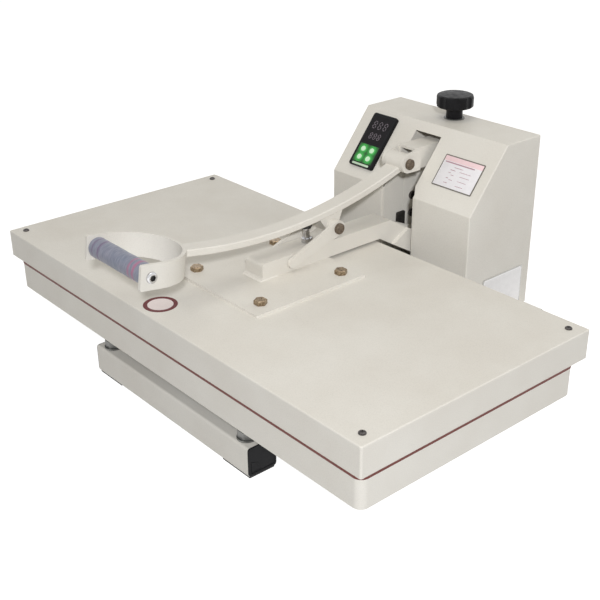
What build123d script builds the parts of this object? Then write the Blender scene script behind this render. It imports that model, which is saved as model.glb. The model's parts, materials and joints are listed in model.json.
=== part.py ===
from build123d import *
import os
from math import cos, hypot, radians, sin, sqrt

os.makedirs("parts", exist_ok=True)

# Clamshell fusing press with a heat platen of 80 x 40 cm, shut, all sizes in millimetres.
# +X runs to the operator's right, +Y away from the operator, +Z up from the floor.
# Places fore and aft, named d, are counted from the front edge of the upper cover.

# Fits and small clearances
fit_gap = 0.3
running_gap = 0.05
screw_gap = 0.1
sheet_gap = 0.2

# Foot bars and base rails
foot_pad_thick = 3.0
foot_pad_inset = 3.0
foot_pad_length = 60.0
bar_length = 380.0
bar_depth = 48.0
bar_height = 45.0
bar_wall = 3.0
bar_corner = 4.0
front_bar_set = 16.0
rail_width = 40.0
rail_wall = 3.0
rail_corner = 3.0
rail_spacing = 200.0
plug_recess = 1.5
plug_depth = 10.0

# Lower table, a folded steel pan that holds the silicone pad
table_width = 810.0
table_depth = 393.0
table_height = 43.0
table_corner = 12.0
table_sheet = 2.5
table_deck = 4.0
table_lift = 39.0
pad_thick = 9.5
pad_proud = 1.5
pad_inset = 2.0
pad_corner = 8.0
channel_width = 44.0
channel_wall = 3.0
channel_lift = 3.0
stud_radius = 7.0
stud_side = 22.0
stud_inset = 17.0
stud_bite = 10.0
stud_end = 3.0
stud_washer_radius = 14.0
stud_washer_thick = 2.5
stud_nut_flats = 22.0
stud_nut_height = 11.0

# Upper cover and what it holds
cover_overhang = 30.0
cover_back_reach = 27.0
cover_height = 43.0
cover_sheet = 1.5
cover_corner = 3.0
cover_bend = 2.0
press_gap = 2.0
press_clear = 0.3
platen_side_gap = 12.0
platen_end_gap = 10.0
platen_thick = 12.0
platen_corner = 6.0
element_side = 8.0
element_bolt_gap = 14.0
element_margin = 45.0
element_end = 58.0
blanket_thick = 15.0
blanket_margin = 8.0
standoff_radius = 9.0
post_radius = 6.0
post_side = 20.0
post_fore = 20.5
corner_screw_radius = 2.5
corner_screw_length = 14.0
corner_head_radius = 5.0
corner_head_height = 2.6
corner_head_edge = 1.2

# Centre plate that joins the swing arm to the platen
plate_size = 206.0
plate_thick = 4.5
plate_set = 107.0
plate_corner = 3.0
plate_bolt_spacing = 152.0
plate_bolt_radius = 5.0
plate_bolt_flats = 17.0
plate_bolt_head = 7.0
plate_bolt_bite = 8.0

# Column housing
column_gap = 59.5
column_width = 306.0
column_depth = 157.0
column_nose = 63.3
column_rise = 98.2
slope_run = 78.7
column_sheet = 1.5
column_bend = 2.0
base_plate_thick = 6.0
slot_width = 55.0
slot_top = 108.0
slot_flare_start = 19.0
slot_flare_mid = 8.0
slot_flare_width = 66.0
slot_foot_width = 74.0
slot_foot_drop = 123.0
vent_count = 7
vent_length = 60.0
vent_width = 4.0
vent_pitch = 11.0
vent_level = 60.0
panel_flange = 20.0
panel_screw_radius = 2.0
panel_screw_length = 8.0
panel_head_radius = 4.0
panel_head_height = 2.2
panel_screw_side = 10.0
panel_screw_pitch = 122.0

# Cheek plates inside the column
cheek_gap = 64.0
cheek_thick = 6.0
cheek_set = 48.5
cheek_depth = 94.0
cheek_slope_clear = 9.0
cheek_bolt_set = 67.5
cheek_bolt_level = 3.0
cheek_bolt_pitch = 31.0
cheek_bolt_radius = 4.0
cheek_bolt_end = 2.0
cheek_head_radius = 7.0
cheek_head_height = 4.2
cheek_nut_flats = 13.0
cheek_nut_height = 6.5
screw_plate_thick = 10.0
screw_plate_depth = 48.0
screw_plate_drop = 2.0
bumper_width = 10.5
bumper_reach = 17.0
bumper_height = 23.0
bumper_level = -0.5
bumper_round = 3.0

# Platen hinge, low in the column
hinge_set = 100.5
hinge_drop = 60.0
hinge_shaft_radius = 12.5
hinge_sleeve_radius = 18.0
hinge_side_gap = 0.5
hinge_head_radius = 18.0
hinge_head_height = 7.0
hinge_nut_flats = 36.0
hinge_nut_height = 12.0
hinge_eye_radius = 24.0
hinge_plate_thick = 6.0
hinge_plate_low = 31.5
hinge_plate_high = 2.5

# Swing arm, an inverted channel over the platen
arm_width = 40.0
arm_height = 26.0
arm_wall = 5.0
arm_nose_set = 76.0
arm_bend_set = 2.0
arm_droop = 31.0
arm_tail_depth = 34.0
arm_tail_end = 10.0
arm_weld = 4.0

# Toggle linkage: lever pivot, link bolt and lower link pin
pivot_height = 116.5
lever_radius = 166.7
lever_angle = 23.4
link_length = 95.0
link_angle = 19.5
link_thick = 5.0
link_side_gap = 1.5
link_eye_radius = 12.0
link_end_radius = 8.0
link_bolt_radius = 5.0
link_nut_height = 5.0
lower_pin_radius = 5.5
pivot_bolt_radius = 6.0
pivot_nut_height = 6.0
bolt_head_radius = 8.5
bolt_head_height = 6.0
bolt_head_edge = 2.0

# Lever
lever_width = 28.0
lever_thick = 11.0
lever_bow = 783.0
lever_low_set = 216.0
lever_low_height = 66.0
lever_edge = 1.5
lever_eye_radius = 15.0
lug_width = 24.0
lug_front = 28.0
lug_back = 24.0
lug_radius = 11.0
stop_set = 43.5
stop_clear = 1.2
stop_bite = 7.0
stop_bolt_radius = 5.0
stop_head_flats = 15.0
stop_head_height = 7.0
stop_nut_flats = 17.0
stop_nut_height = 7.0

# Handle strap and grip
strap_radius = 69.0
strap_thick = 5.0
strap_height = 35.0
strap_straight = 16.5
strap_nose = 16.0
strap_round = 3.0
strap_tilt = 8.5
grip_ahead = 34.3
grip_height = 94.1
grip_radius = 13.0
grip_rod_radius = 6.0
grip_screw_radius = 3.0
grip_screw_bite = 15.0
grip_head_radius = 8.0
grip_head_height = 4.0
grip_head_edge = 2.0

# Pressure arm, guide block, screw and knob
pressure_arm_width = 34.0
pressure_arm_height = 35.0
pressure_arm_wall = 4.0
pressure_arm_low = 101.0
pressure_arm_set = 18.5
ear_thick = 6.0
ear_radius = 15.0
ear_back = 26.5
boss_side_gap = 0.3
guide_block_depth = 30.0
guide_block_height = 39.0
guide_block_low = 95.0
guide_side_gap = 0.3
knob_set = 127.5
screw_radius = 8.0
screw_tail = 8.0
screw_hold = 14.0
screw_collar_radius = 13.0
screw_collar_height = 6.0
knob_radius = 30.5
knob_head_height = 20.0
knob_edge = 4.0
knob_crown = 1.5
knob_neck_radius = 13.5
knob_neck_height = 18.5
knob_lobes = 8
knob_scallop_radius = 11.0
knob_scallop_depth = 2.5
knob_washer_radius = 17.0
knob_washer_thick = 1.5

# Controller, plates and electrics
controller_width = 54.0
controller_length = 97.0
controller_height = 6.0
controller_corner = 4.0
controller_edge = 1.0
controller_side = 97.5
controller_along = 67.0
case_margin = 4.0
case_depth = 56.0
window_width = 44.0
window_length = 48.0
window_thick = 1.5
window_along = 19.0
keypad_width = 44.0
keypad_length = 33.0
keypad_thick = 1.2
keypad_along = -25.0
key_radius = 4.5
key_gap = 0.25
key_height = 3.4
key_proud = 1.0
key_travel = 0.8
key_spacing_x = 20.0
key_spacing_y = 15.0
card_width = 80.4
card_length = 53.6
card_side = 94.2
card_along = 58.2
card_thick = 0.8
card_corner = 2.0
label_width = 97.0
label_height = 70.0
label_set = 91.0
label_drop = 89.0
switch_side = 92.0
switch_level = 50.0
switch_width = 15.0
switch_length = 22.0
switch_frame = 3.0
switch_flange = 2.0
switch_wall = 1.5
switch_depth = 18.0
rocker_gap = 0.4
rocker_inset = 1.4
rocker_depth = 5.0
rocker_reach = 3.0
rocker_dip = 1.0
rocker_tilt = 9.0
rocker_pin_radius = 1.5
gland_side = 92.0
gland_level = 50.0
gland_bore = 4.5
gland_radius = 8.0
gland_flats = 22.0
gland_collar = 5.0
gland_dome_radius = 9.5
gland_reach = 14.0
gland_inside = 9.0
gland_nut_height = 5.0

# Levels above the floor
bar_top_z = foot_pad_thick + bar_height
bar_mid_z = foot_pad_thick + bar_height / 2
table_bottom_z = bar_top_z + table_lift
table_top_z = table_bottom_z + table_height
deck_top_z = table_top_z + pad_proud - pad_thick
deck_bottom_z = deck_top_z - table_deck
channel_bottom_z = table_bottom_z + channel_lift
cover_bottom_z = table_top_z + press_gap
cover_top_z = cover_bottom_z + cover_height
platen_bottom_z = table_top_z + pad_proud + press_clear
platen_top_z = platen_bottom_z + platen_thick
plate_top_z = cover_top_z + plate_thick
arm_top_z = plate_top_z + arm_height
nose_z = cover_top_z + column_nose
column_top_z = nose_z + column_rise
column_floor_z = bar_top_z + base_plate_thick
cheek_top_z = column_top_z - screw_plate_drop - screw_plate_thick
hinge_z = cover_top_z - hinge_drop
pivot_z = cover_top_z + pivot_height
grip_z = cover_top_z + grip_height
pressure_arm_z = cover_top_z + pressure_arm_low
guide_block_z = cover_top_z + guide_block_low
knob_foot_z = column_top_z + knob_washer_thick
label_z = cover_top_z - label_drop

# Plan sizes and places behind the front edge of the cover
cover_width = table_width + cover_overhang
cover_depth = table_depth + cover_back_reach
table_shift = cover_overhang / 2
platen_width = cover_width - 2 * platen_side_gap
platen_depth = cover_depth - 2 * platen_end_gap
element_run = platen_width - 2 * element_end
cover_mid_d = cover_depth / 2
table_mid_d = table_depth / 2
plate_mid_d = plate_set + plate_size / 2
platen_front_d = cover_mid_d - platen_depth / 2
platen_back_d = cover_mid_d + platen_depth / 2
column_front = cover_depth + column_gap
column_back = column_front + column_depth
column_mid_d = (column_front + column_back) / 2
cheek_front = column_front + cheek_set
hinge_d = column_front + hinge_set
pivot_d = column_front
link_bolt_d = pivot_d - lever_radius * cos(radians(lever_angle))
link_bolt_z = pivot_z - lever_radius * sin(radians(lever_angle))
lower_pin_d = link_bolt_d - link_length * cos(radians(link_angle))
lower_pin_z = link_bolt_z - link_length * sin(radians(link_angle))
stop_d = link_bolt_d - stop_set
knob_d = column_front + knob_set
front_bar_d = front_bar_set + bar_depth / 2
front_stud_d = front_bar_set + stud_inset
middle_bar_d = table_depth - front_stud_d
rear_bar_d = column_back - bar_depth / 2
stud_spacing = bar_length - 2 * stud_side
stud_places = [(x, d) for x in (-stud_spacing / 2, stud_spacing / 2) for d in (front_stud_d, middle_bar_d)]

# Half widths of the linkage, from the middle outwards
arm_side = arm_width / 2
hinge_plate_side = arm_side + hinge_plate_thick
link_inner_side = arm_side + link_side_gap
link_outer_side = link_inner_side + link_thick
bush_side = link_inner_side - fit_gap
ear_inner_side = pressure_arm_width / 2
ear_outer_side = ear_inner_side + ear_thick
cheek_side = cheek_gap / 2
cheek_outer_side = cheek_side + cheek_thick

# Directions of the column's slope, the arm's tail and the handle
slope_length = hypot(slope_run, column_rise)
slope_cos = slope_run / slope_length
slope_sin = column_rise / slope_length
droop_cos = cos(radians(arm_droop))
droop_sin = sin(radians(arm_droop))
tilt_cos = cos(radians(strap_tilt))
tilt_sin = sin(radians(strap_tilt))

# The origin lies on the floor under the middle of the whole outline
strap_corner = (strap_nose - strap_round) * tilt_cos + (strap_height / 2 - strap_round) * tilt_sin
front_reach = grip_ahead + strap_corner + strap_round
front_y = (front_reach - column_back - gland_reach) / 2


def side_plane(x):
    """Upright plane facing +X whose own axes are d and z."""
    return Plane(origin=(x, front_y, 0), x_dir=(0, 1, 0), z_dir=(1, 0, 0))


def level_plane(z):
    """Level plane facing up whose own axes are x and d."""
    return Plane(origin=(0, front_y, z))


def front_plane(d):
    """Upright plane facing the operator whose own axes are x and z."""
    return Plane(origin=(0, front_y + d, 0), x_dir=(1, 0, 0), z_dir=(0, -1, 0))


def back_plane(d):
    """Upright plane facing away from the operator whose own axes are -x and z."""
    return Plane(origin=(0, front_y + d, 0), x_dir=(-1, 0, 0), z_dir=(0, 1, 0))


def slope_plane(x, along, lift):
    """Plane on the column's slope, lifted off it, at x and so far along from its lower bend."""
    d = column_front + along * slope_cos - lift * slope_sin
    z = nose_z + along * slope_sin + lift * slope_cos
    return Plane(origin=(x, front_y + d, z), x_dir=(1, 0, 0), z_dir=(0, -slope_sin, slope_cos))


def slope_z(d, lift):
    """Height of the slope's line at d, lifted off it at right angles."""
    return nose_z + (d - column_front) * slope_sin / slope_cos + lift / slope_cos


def slope_d(z, lift):
    """Place of the slope's line at height z, lifted off it at right angles."""
    return column_front + (z - nose_z) * slope_cos / slope_sin - lift / slope_sin


def tail_d(height, depth):
    """Place where the arm's tail, depth above its lower edge, meets a level line over the plate."""
    return cover_depth + arm_bend_set + (depth - height * droop_cos) / droop_sin


def tail_z(d, depth):
    """Height of the arm's tail at d, depth above its lower edge at right angles."""
    return plate_top_z + depth / droop_cos - (d - cover_depth - arm_bend_set) * droop_sin / droop_cos


def bow_z(d, drop):
    """Height of the lever's bow at d, drop below its centreline at right angles."""
    radius = lever_bow + drop
    return cover_top_z + lever_low_height + lever_bow - sqrt(radius**2 - (d - lever_low_set) ** 2)


def bow_plane(d, drop):
    """Plane square to the lever's bow at d, dropped below its centreline, facing up."""
    lean = (d - lever_low_set) / lever_bow
    rise = sqrt(1 - lean**2)
    return Plane(
        origin=(0, front_y + d + drop * lean, bow_z(d, 0) - drop * rise),
        x_dir=(1, 0, 0),
        z_dir=(0, -lean, rise),
    )


def strap_plane(along):
    """Plane of the handle strap, along it from the grip's axis towards the back."""
    d = along * tilt_cos - grip_ahead
    z = grip_z - along * tilt_sin
    return Plane(origin=(0, front_y + d, z), x_dir=(1, 0, 0), z_dir=(0, tilt_sin, tilt_cos))


def tube_section(width, height, wall, corner):
    """Section of a square tube with rounded corners."""
    RectangleRounded(width, height, corner)
    Rectangle(width - 2 * wall, height - 2 * wall, mode=Mode.SUBTRACT)


# Three square tubes across the base carry the table in front and the column behind
with BuildPart() as table_foot_bars:
    with BuildSketch(side_plane(0)):
        with Locations((front_bar_d, bar_mid_z), (middle_bar_d, bar_mid_z)):
            tube_section(bar_depth, bar_height, bar_wall, bar_corner)
    extrude(amount=bar_length / 2, both=True)
    with BuildSketch(level_plane(bar_top_z)):
        with Locations(*stud_places):
            Circle(stud_radius + screw_gap)
    extrude(amount=-bar_wall, mode=Mode.SUBTRACT)
table_foot_bars.part.label = "table_foot_bars"
export_step(table_foot_bars.part, "parts/table_foot_bars.step")

with BuildPart() as rear_foot_bar:
    with BuildSketch(side_plane(0)):
        with Locations((rear_bar_d, bar_mid_z)):
            tube_section(bar_depth, bar_height, bar_wall, bar_corner)
    extrude(amount=bar_length / 2, both=True)
rear_foot_bar.part.label = "rear_foot_bar"
export_step(rear_foot_bar.part, "parts/rear_foot_bar.step")

# Two pairs of rails join the bars, flush with their tops
with BuildPart() as base_rails:
    for ahead_d, behind_d in ((front_bar_d, middle_bar_d), (middle_bar_d, rear_bar_d)):
        with BuildSketch(front_plane(ahead_d + bar_depth / 2)):
            with Locations((0, bar_top_z - rail_width / 2)):
                with GridLocations(rail_spacing, 1, 2, 1):
                    tube_section(rail_width, rail_width, rail_wall, rail_corner)
        extrude(amount=-(behind_d - ahead_d - bar_depth))
base_rails.part.label = "base_rails"
export_step(base_rails.part, "parts/base_rails.step")

with BuildPart() as bar_end_plugs:
    with BuildSketch(side_plane(bar_length / 2 - plug_recess)):
        with Locations((front_bar_d, bar_mid_z), (middle_bar_d, bar_mid_z), (rear_bar_d, bar_mid_z)):
            Rectangle(
                bar_depth - 2 * (bar_wall + fit_gap),
                bar_height - 2 * (bar_wall + fit_gap),
            )
    extrude(amount=-plug_depth)
    mirror(about=Plane.YZ)
bar_end_plugs.part.label = "bar_end_plugs"
export_step(bar_end_plugs.part, "parts/bar_end_plugs.step")

with BuildPart() as foot_pads:
    with BuildSketch(level_plane(0)):
        with Locations((0, front_bar_d), (0, middle_bar_d), (0, rear_bar_d)):
            with GridLocations(bar_length - foot_pad_length, 1, 2, 1):
                Rectangle(foot_pad_length, bar_depth - 2 * foot_pad_inset)
    extrude(amount=foot_pad_thick)
foot_pads.part.label = "foot_pads"
export_step(foot_pads.part, "parts/foot_pads.step")

# Lower table with a rim that stands above the deck and keeps the pad in place
with BuildPart() as table_pan:
    with BuildSketch(level_plane(table_bottom_z)):
        with Locations((table_shift, table_mid_d)):
            RectangleRounded(table_width, table_depth, table_corner)
            RectangleRounded(
                table_width - 2 * table_sheet,
                table_depth - 2 * table_sheet,
                table_corner - table_sheet,
                mode=Mode.SUBTRACT,
            )
    extrude(amount=table_height)
    with BuildSketch(level_plane(deck_bottom_z)):
        with Locations((table_shift, table_mid_d)):
            RectangleRounded(
                table_width - 2 * table_sheet,
                table_depth - 2 * table_sheet,
                table_corner - table_sheet,
            )
    extrude(amount=table_deck)
table_pan.part.label = "table_pan"
export_step(table_pan.part, "parts/table_pan.step")

with BuildPart() as silicone_pad:
    with BuildSketch(level_plane(deck_top_z)):
        with Locations((table_shift, table_mid_d)):
            RectangleRounded(
                table_width - 2 * (table_sheet + pad_inset),
                table_depth - 2 * (table_sheet + pad_inset),
                pad_corner,
            )
    extrude(amount=pad_thick)
silicone_pad.part.label = "silicone_pad"
export_step(silicone_pad.part, "parts/silicone_pad.step")

# Two channels under the deck stand on four studs
with BuildPart() as table_channels:
    channel_height = deck_bottom_z - channel_bottom_z
    with BuildSketch(side_plane(table_shift)):
        for stud_d in (front_stud_d, middle_bar_d):
            with Locations((stud_d, channel_bottom_z + channel_height / 2)):
                Rectangle(channel_width, channel_height)
            with Locations((stud_d, channel_bottom_z + channel_height / 2 + channel_wall)):
                Rectangle(channel_width - 2 * channel_wall, channel_height, mode=Mode.SUBTRACT)
    extrude(amount=table_width / 2 - table_sheet - fit_gap, both=True)
    with BuildSketch(level_plane(channel_bottom_z)):
        with Locations(*stud_places):
            Circle(stud_radius + screw_gap)
    extrude(amount=channel_wall, mode=Mode.SUBTRACT)
table_channels.part.label = "table_channels"
export_step(table_channels.part, "parts/table_channels.step")

stud_top_z = channel_bottom_z + channel_wall + stud_nut_height + stud_end
with BuildPart() as table_studs:
    with BuildSketch(level_plane(bar_top_z - stud_bite)):
        with Locations(*stud_places):
            Circle(stud_radius)
    extrude(amount=stud_top_z - bar_top_z + stud_bite)
    with BuildSketch(level_plane(bar_top_z)):
        with Locations(*stud_places):
            Circle(stud_washer_radius)
    extrude(amount=stud_washer_thick)
    for nut_z in (bar_top_z + stud_washer_thick, channel_bottom_z + channel_wall):
        with BuildSketch(level_plane(nut_z)):
            with Locations(*stud_places):
                RegularPolygon(stud_nut_flats / 2, 6, major_radius=False)
        extrude(amount=stud_nut_height)
table_studs.part.label = "table_studs"
export_step(table_studs.part, "parts/table_studs.step")

# Column: a base plate, a folded shell and a screwed back panel
with BuildPart() as column_base_plate:
    with BuildSketch(level_plane(bar_top_z)):
        with Locations((0, column_mid_d)):
            Rectangle(
                column_width - 2 * (column_sheet + sheet_gap),
                column_depth - 2 * (column_sheet + sheet_gap),
            )
    extrude(amount=base_plate_thick)
column_base_plate.part.label = "column_base_plate"
export_step(column_base_plate.part, "parts/column_base_plate.step")

panel_screw_x = column_width / 2 - column_sheet - panel_screw_side
panel_screw_z = (column_floor_z + column_top_z) / 2
panel_screw_places = [
    (x, panel_screw_z + step)
    for x in (-panel_screw_x, panel_screw_x)
    for step in (-panel_screw_pitch, 0, panel_screw_pitch)
]

with BuildPart() as column_shell:
    with BuildSketch(side_plane(0)):
        with BuildLine():
            Polyline(
                (column_front, bar_top_z),
                (column_front, nose_z),
                (column_front + slope_run, column_top_z),
                (column_back, column_top_z),
                (column_back, bar_top_z),
                close=True,
            )
        make_face()
    extrude(amount=column_width / 2, both=True)
    back_face = column_shell.faces().sort_by(Axis.Y)[-1]
    bottom_face = column_shell.faces().sort_by(Axis.Z)[0]
    open_edges = back_face.edges() + bottom_face.edges()
    bend_edges = [
        edge
        for edge in column_shell.edges()
        if not any(edge.is_same(other) for other in open_edges)
    ]
    fillet(bend_edges, column_bend)
    offset(
        amount=-column_sheet,
        openings=[column_shell.faces().sort_by(Axis.Y)[-1], column_shell.faces().sort_by(Axis.Z)[0]],
    )
    # Flanges that take the screws of the back panel
    with BuildSketch(back_plane(column_back - column_sheet)):
        with Locations((0, (column_floor_z + column_top_z - column_sheet) / 2)):
            with GridLocations(column_width - 2 * column_sheet - panel_flange, 1, 2, 1):
                Rectangle(panel_flange, column_top_z - column_sheet - column_floor_z)
        with Locations(*panel_screw_places):
            Circle(panel_screw_radius + screw_gap, mode=Mode.SUBTRACT)
    extrude(amount=-column_sheet)
    # Slot for the two arms, wider below the bend
    with BuildSketch(front_plane(column_front)):
        with Locations((0, nose_z - slot_foot_drop / 2)):
            Rectangle(slot_foot_width, slot_foot_drop)
    extrude(amount=-4 * column_sheet, mode=Mode.SUBTRACT)
    with BuildSketch(slope_plane(0, 0, column_sheet)):
        with BuildLine():
            Polyline(
                (slot_foot_width / 2, -column_sheet),
                (slot_flare_width / 2, slot_flare_mid),
                (slot_width / 2, slot_flare_start),
                (slot_width / 2, slot_top),
                (-slot_width / 2, slot_top),
                (-slot_width / 2, slot_flare_start),
                (-slot_flare_width / 2, slot_flare_mid),
                (-slot_foot_width / 2, -column_sheet),
                close=True,
            )
        make_face()
    extrude(amount=-4 * column_sheet, mode=Mode.SUBTRACT)
    # Cut-out behind the controller and clearance hole for the pressure screw
    with BuildSketch(slope_plane(-controller_side, controller_along, 0)):
        Rectangle(
            controller_width - 2 * case_margin + 2 * fit_gap,
            controller_length - 2 * case_margin + 2 * fit_gap,
        )
    extrude(amount=-2 * column_sheet, mode=Mode.SUBTRACT)
    with BuildSketch(level_plane(column_top_z)):
        with Locations((0, knob_d)):
            Circle(screw_radius + fit_gap)
    extrude(amount=-2 * column_sheet, mode=Mode.SUBTRACT)
column_shell.part.label = "column_shell"
export_step(column_shell.part, "parts/column_shell.step")

gland_z = column_floor_z + gland_level
switch_z = column_floor_z + switch_level
vent_mid_z = (column_floor_z + column_top_z) / 2 + vent_level
with BuildPart() as column_back_panel:
    panel_top_z = column_top_z - column_sheet - sheet_gap
    with BuildSketch(back_plane(column_back)):
        with Locations((0, (bar_top_z + panel_top_z) / 2)):
            Rectangle(column_width - 2 * (column_sheet + sheet_gap), panel_top_z - bar_top_z)
        with Locations(*panel_screw_places):
            Circle(panel_screw_radius + screw_gap, mode=Mode.SUBTRACT)
        with Locations((0, vent_mid_z)):
            with GridLocations(1, vent_pitch, 1, vent_count):
                SlotOverall(vent_length, vent_width, mode=Mode.SUBTRACT)
        with Locations((-gland_side, gland_z)):
            Circle(gland_radius + screw_gap, mode=Mode.SUBTRACT)
        with Locations((switch_side, switch_z)):
            Rectangle(
                switch_width + 2 * (rocker_gap + switch_wall + sheet_gap),
                switch_length + 2 * (rocker_gap + switch_wall + sheet_gap),
                mode=Mode.SUBTRACT,
            )
    extrude(amount=-column_sheet)
column_back_panel.part.label = "column_back_panel"
export_step(column_back_panel.part, "parts/column_back_panel.step")

with BuildPart() as panel_screws:
    with BuildSketch(back_plane(column_back)):
        with Locations(*panel_screw_places):
            Circle(panel_head_radius)
    extrude(amount=panel_head_height)
    chamfer(panel_screws.edges().group_by(Axis.Y)[-1], panel_head_height / 2)
    with BuildSketch(back_plane(column_back)):
        with Locations(*panel_screw_places):
            Circle(panel_screw_radius)
    extrude(amount=-panel_screw_length)
panel_screws.part.label = "panel_screws"
export_step(panel_screws.part, "parts/panel_screws.step")

# Two cheek plates carry the hinge shaft, the guide block and the screw plate
cheek_bolt_places = [
    (column_front + cheek_bolt_set, cover_top_z + cheek_bolt_level),
    (column_front + cheek_bolt_set, cover_top_z + cheek_bolt_level + cheek_bolt_pitch),
]

with BuildPart() as cheek_plates:
    with BuildSketch(side_plane(cheek_side)):
        with BuildLine():
            Polyline(
                (cheek_front, column_floor_z),
                (cheek_front, slope_z(cheek_front, -cheek_slope_clear)),
                (slope_d(cheek_top_z, -cheek_slope_clear), cheek_top_z),
                (cheek_front + cheek_depth, cheek_top_z),
                (cheek_front + cheek_depth, column_floor_z),
                close=True,
            )
        make_face()
        with Locations((hinge_d, hinge_z)):
            Circle(hinge_shaft_radius + running_gap, mode=Mode.SUBTRACT)
        with Locations(*cheek_bolt_places):
            Circle(cheek_bolt_radius + screw_gap, mode=Mode.SUBTRACT)
    extrude(amount=cheek_thick)
    mirror(about=Plane.YZ)
cheek_plates.part.label = "cheek_plates"
export_step(cheek_plates.part, "parts/cheek_plates.step")

with BuildPart() as cheek_bolts:
    with BuildSketch(side_plane(cheek_side)):
        with Locations(*cheek_bolt_places):
            Circle(cheek_head_radius)
    extrude(amount=-cheek_head_height)
    with BuildSketch(side_plane(cheek_side)):
        with Locations(*cheek_bolt_places):
            Circle(cheek_bolt_radius)
    extrude(amount=cheek_thick + cheek_nut_height + cheek_bolt_end)
    with BuildSketch(side_plane(cheek_outer_side)):
        with Locations(*cheek_bolt_places):
            RegularPolygon(cheek_nut_flats / 2, 6, major_radius=False)
    extrude(amount=cheek_nut_height)
    mirror(about=Plane.YZ)
cheek_bolts.part.label = "cheek_bolts"
export_step(cheek_bolts.part, "parts/cheek_bolts.step")

with BuildPart() as screw_plate:
    with BuildSketch(level_plane(cheek_top_z)):
        with Locations((0, knob_d)):
            Rectangle(2 * cheek_outer_side, screw_plate_depth)
            Circle(screw_radius + running_gap, mode=Mode.SUBTRACT)
    extrude(amount=screw_plate_thick)
screw_plate.part.label = "screw_plate"
export_step(screw_plate.part, "parts/screw_plate.step")

with BuildPart() as stop_bumper:
    with BuildSketch(side_plane(-cheek_outer_side)):
        with Locations((cheek_front - bumper_reach / 2, cover_top_z + bumper_level)):
            Rectangle(bumper_reach, bumper_height)
    extrude(amount=bumper_width)
    fillet(stop_bumper.faces().sort_by(Axis.Y)[0].edges(), bumper_round)
stop_bumper.part.label = "stop_bumper"
export_step(stop_bumper.part, "parts/stop_bumper.step")

with BuildPart() as hinge_shaft:
    with BuildSketch(side_plane(cheek_outer_side)):
        with Locations((hinge_d, hinge_z)):
            Circle(hinge_head_radius)
    extrude(amount=hinge_head_height)
    chamfer(hinge_shaft.edges().sort_by(Axis.X)[-1], hinge_head_height / 4)
    with BuildSketch(side_plane(cheek_outer_side)):
        with Locations((hinge_d, hinge_z)):
            Circle(hinge_shaft_radius)
    extrude(amount=-(2 * cheek_outer_side + hinge_nut_height + screw_plate_drop))
    with BuildSketch(side_plane(-cheek_outer_side)):
        with Locations((hinge_d, hinge_z)):
            RegularPolygon(hinge_nut_flats / 2, 6, major_radius=False)
            Circle(hinge_shaft_radius + running_gap, mode=Mode.SUBTRACT)
    extrude(amount=-hinge_nut_height)
hinge_shaft.part.label = "hinge_shaft"
export_step(hinge_shaft.part, "parts/hinge_shaft.step")

# Swing arm: an inverted channel, closed in front, with a drooping tail to the hinge
tail_end_d = hinge_d - arm_tail_end
with BuildPart() as swing_arm:
    with BuildSketch(side_plane(0)):
        with BuildLine():
            Polyline(
                (plate_set + arm_nose_set, plate_top_z),
                (plate_set + arm_nose_set, arm_top_z),
                (tail_d(arm_height, arm_tail_depth), arm_top_z),
                (tail_end_d, tail_z(tail_end_d, arm_tail_depth)),
                (tail_end_d, tail_z(tail_end_d, 0)),
                (cover_depth + arm_bend_set, plate_top_z),
                close=True,
            )
        make_face()
    extrude(amount=arm_side, both=True)
    arm_bends = swing_arm.edges().filter_by(Axis.X).group_by(Axis.Z)[-1].sort_by(Axis.Y)
    fillet(arm_bends, arm_wall)
    with BuildSketch(side_plane(0)):
        with BuildLine():
            Polyline(
                (plate_set + arm_nose_set + arm_wall, plate_top_z - arm_height),
                (plate_set + arm_nose_set + arm_wall, arm_top_z - arm_wall),
                (tail_d(arm_height - arm_wall, arm_tail_depth - arm_wall), arm_top_z - arm_wall),
                (hinge_d, tail_z(hinge_d, arm_tail_depth - arm_wall)),
                (hinge_d, tail_z(hinge_d, -arm_height)),
                (cover_depth, plate_top_z - arm_height),
                close=True,
            )
        make_face()
    extrude(amount=arm_side - arm_wall, both=True, mode=Mode.SUBTRACT)
    # Fillet weld across the front end
    with BuildSketch(side_plane(0)):
        with BuildLine():
            Polyline(
                (plate_set + arm_nose_set - arm_weld, plate_top_z),
                (plate_set + arm_nose_set, plate_top_z + arm_weld),
                (plate_set + arm_nose_set, plate_top_z),
                close=True,
            )
        make_face()
    extrude(amount=arm_side, both=True)
    # Saddle for the hinge sleeve and the hole for the lower link pin
    with BuildSketch(side_plane(0)):
        with Locations((hinge_d, hinge_z)):
            Circle(hinge_sleeve_radius + screw_gap)
        with Locations((lower_pin_d, lower_pin_z)):
            Circle(lower_pin_radius + screw_gap)
    extrude(amount=arm_side, both=True, mode=Mode.SUBTRACT)
swing_arm.part.label = "swing_arm"
export_step(swing_arm.part, "parts/swing_arm.step")

with BuildPart() as hinge_plates:
    with BuildSketch(side_plane(arm_side)):
        with BuildLine():
            Polyline(
                (column_front - hinge_plate_low, tail_z(column_front - hinge_plate_low, 0)),
                (column_front + hinge_plate_high, tail_z(column_front + hinge_plate_high, arm_tail_depth)),
                (hinge_d, hinge_z),
                close=True,
            )
        make_face()
        with Locations((hinge_d, hinge_z)):
            Circle(hinge_eye_radius)
        make_hull()
        with Locations((hinge_d, hinge_z)):
            Circle(hinge_sleeve_radius + screw_gap, mode=Mode.SUBTRACT)
    extrude(amount=hinge_plate_thick)
    mirror(about=Plane.YZ)
hinge_plates.part.label = "hinge_plates"
export_step(hinge_plates.part, "parts/hinge_plates.step")

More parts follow.
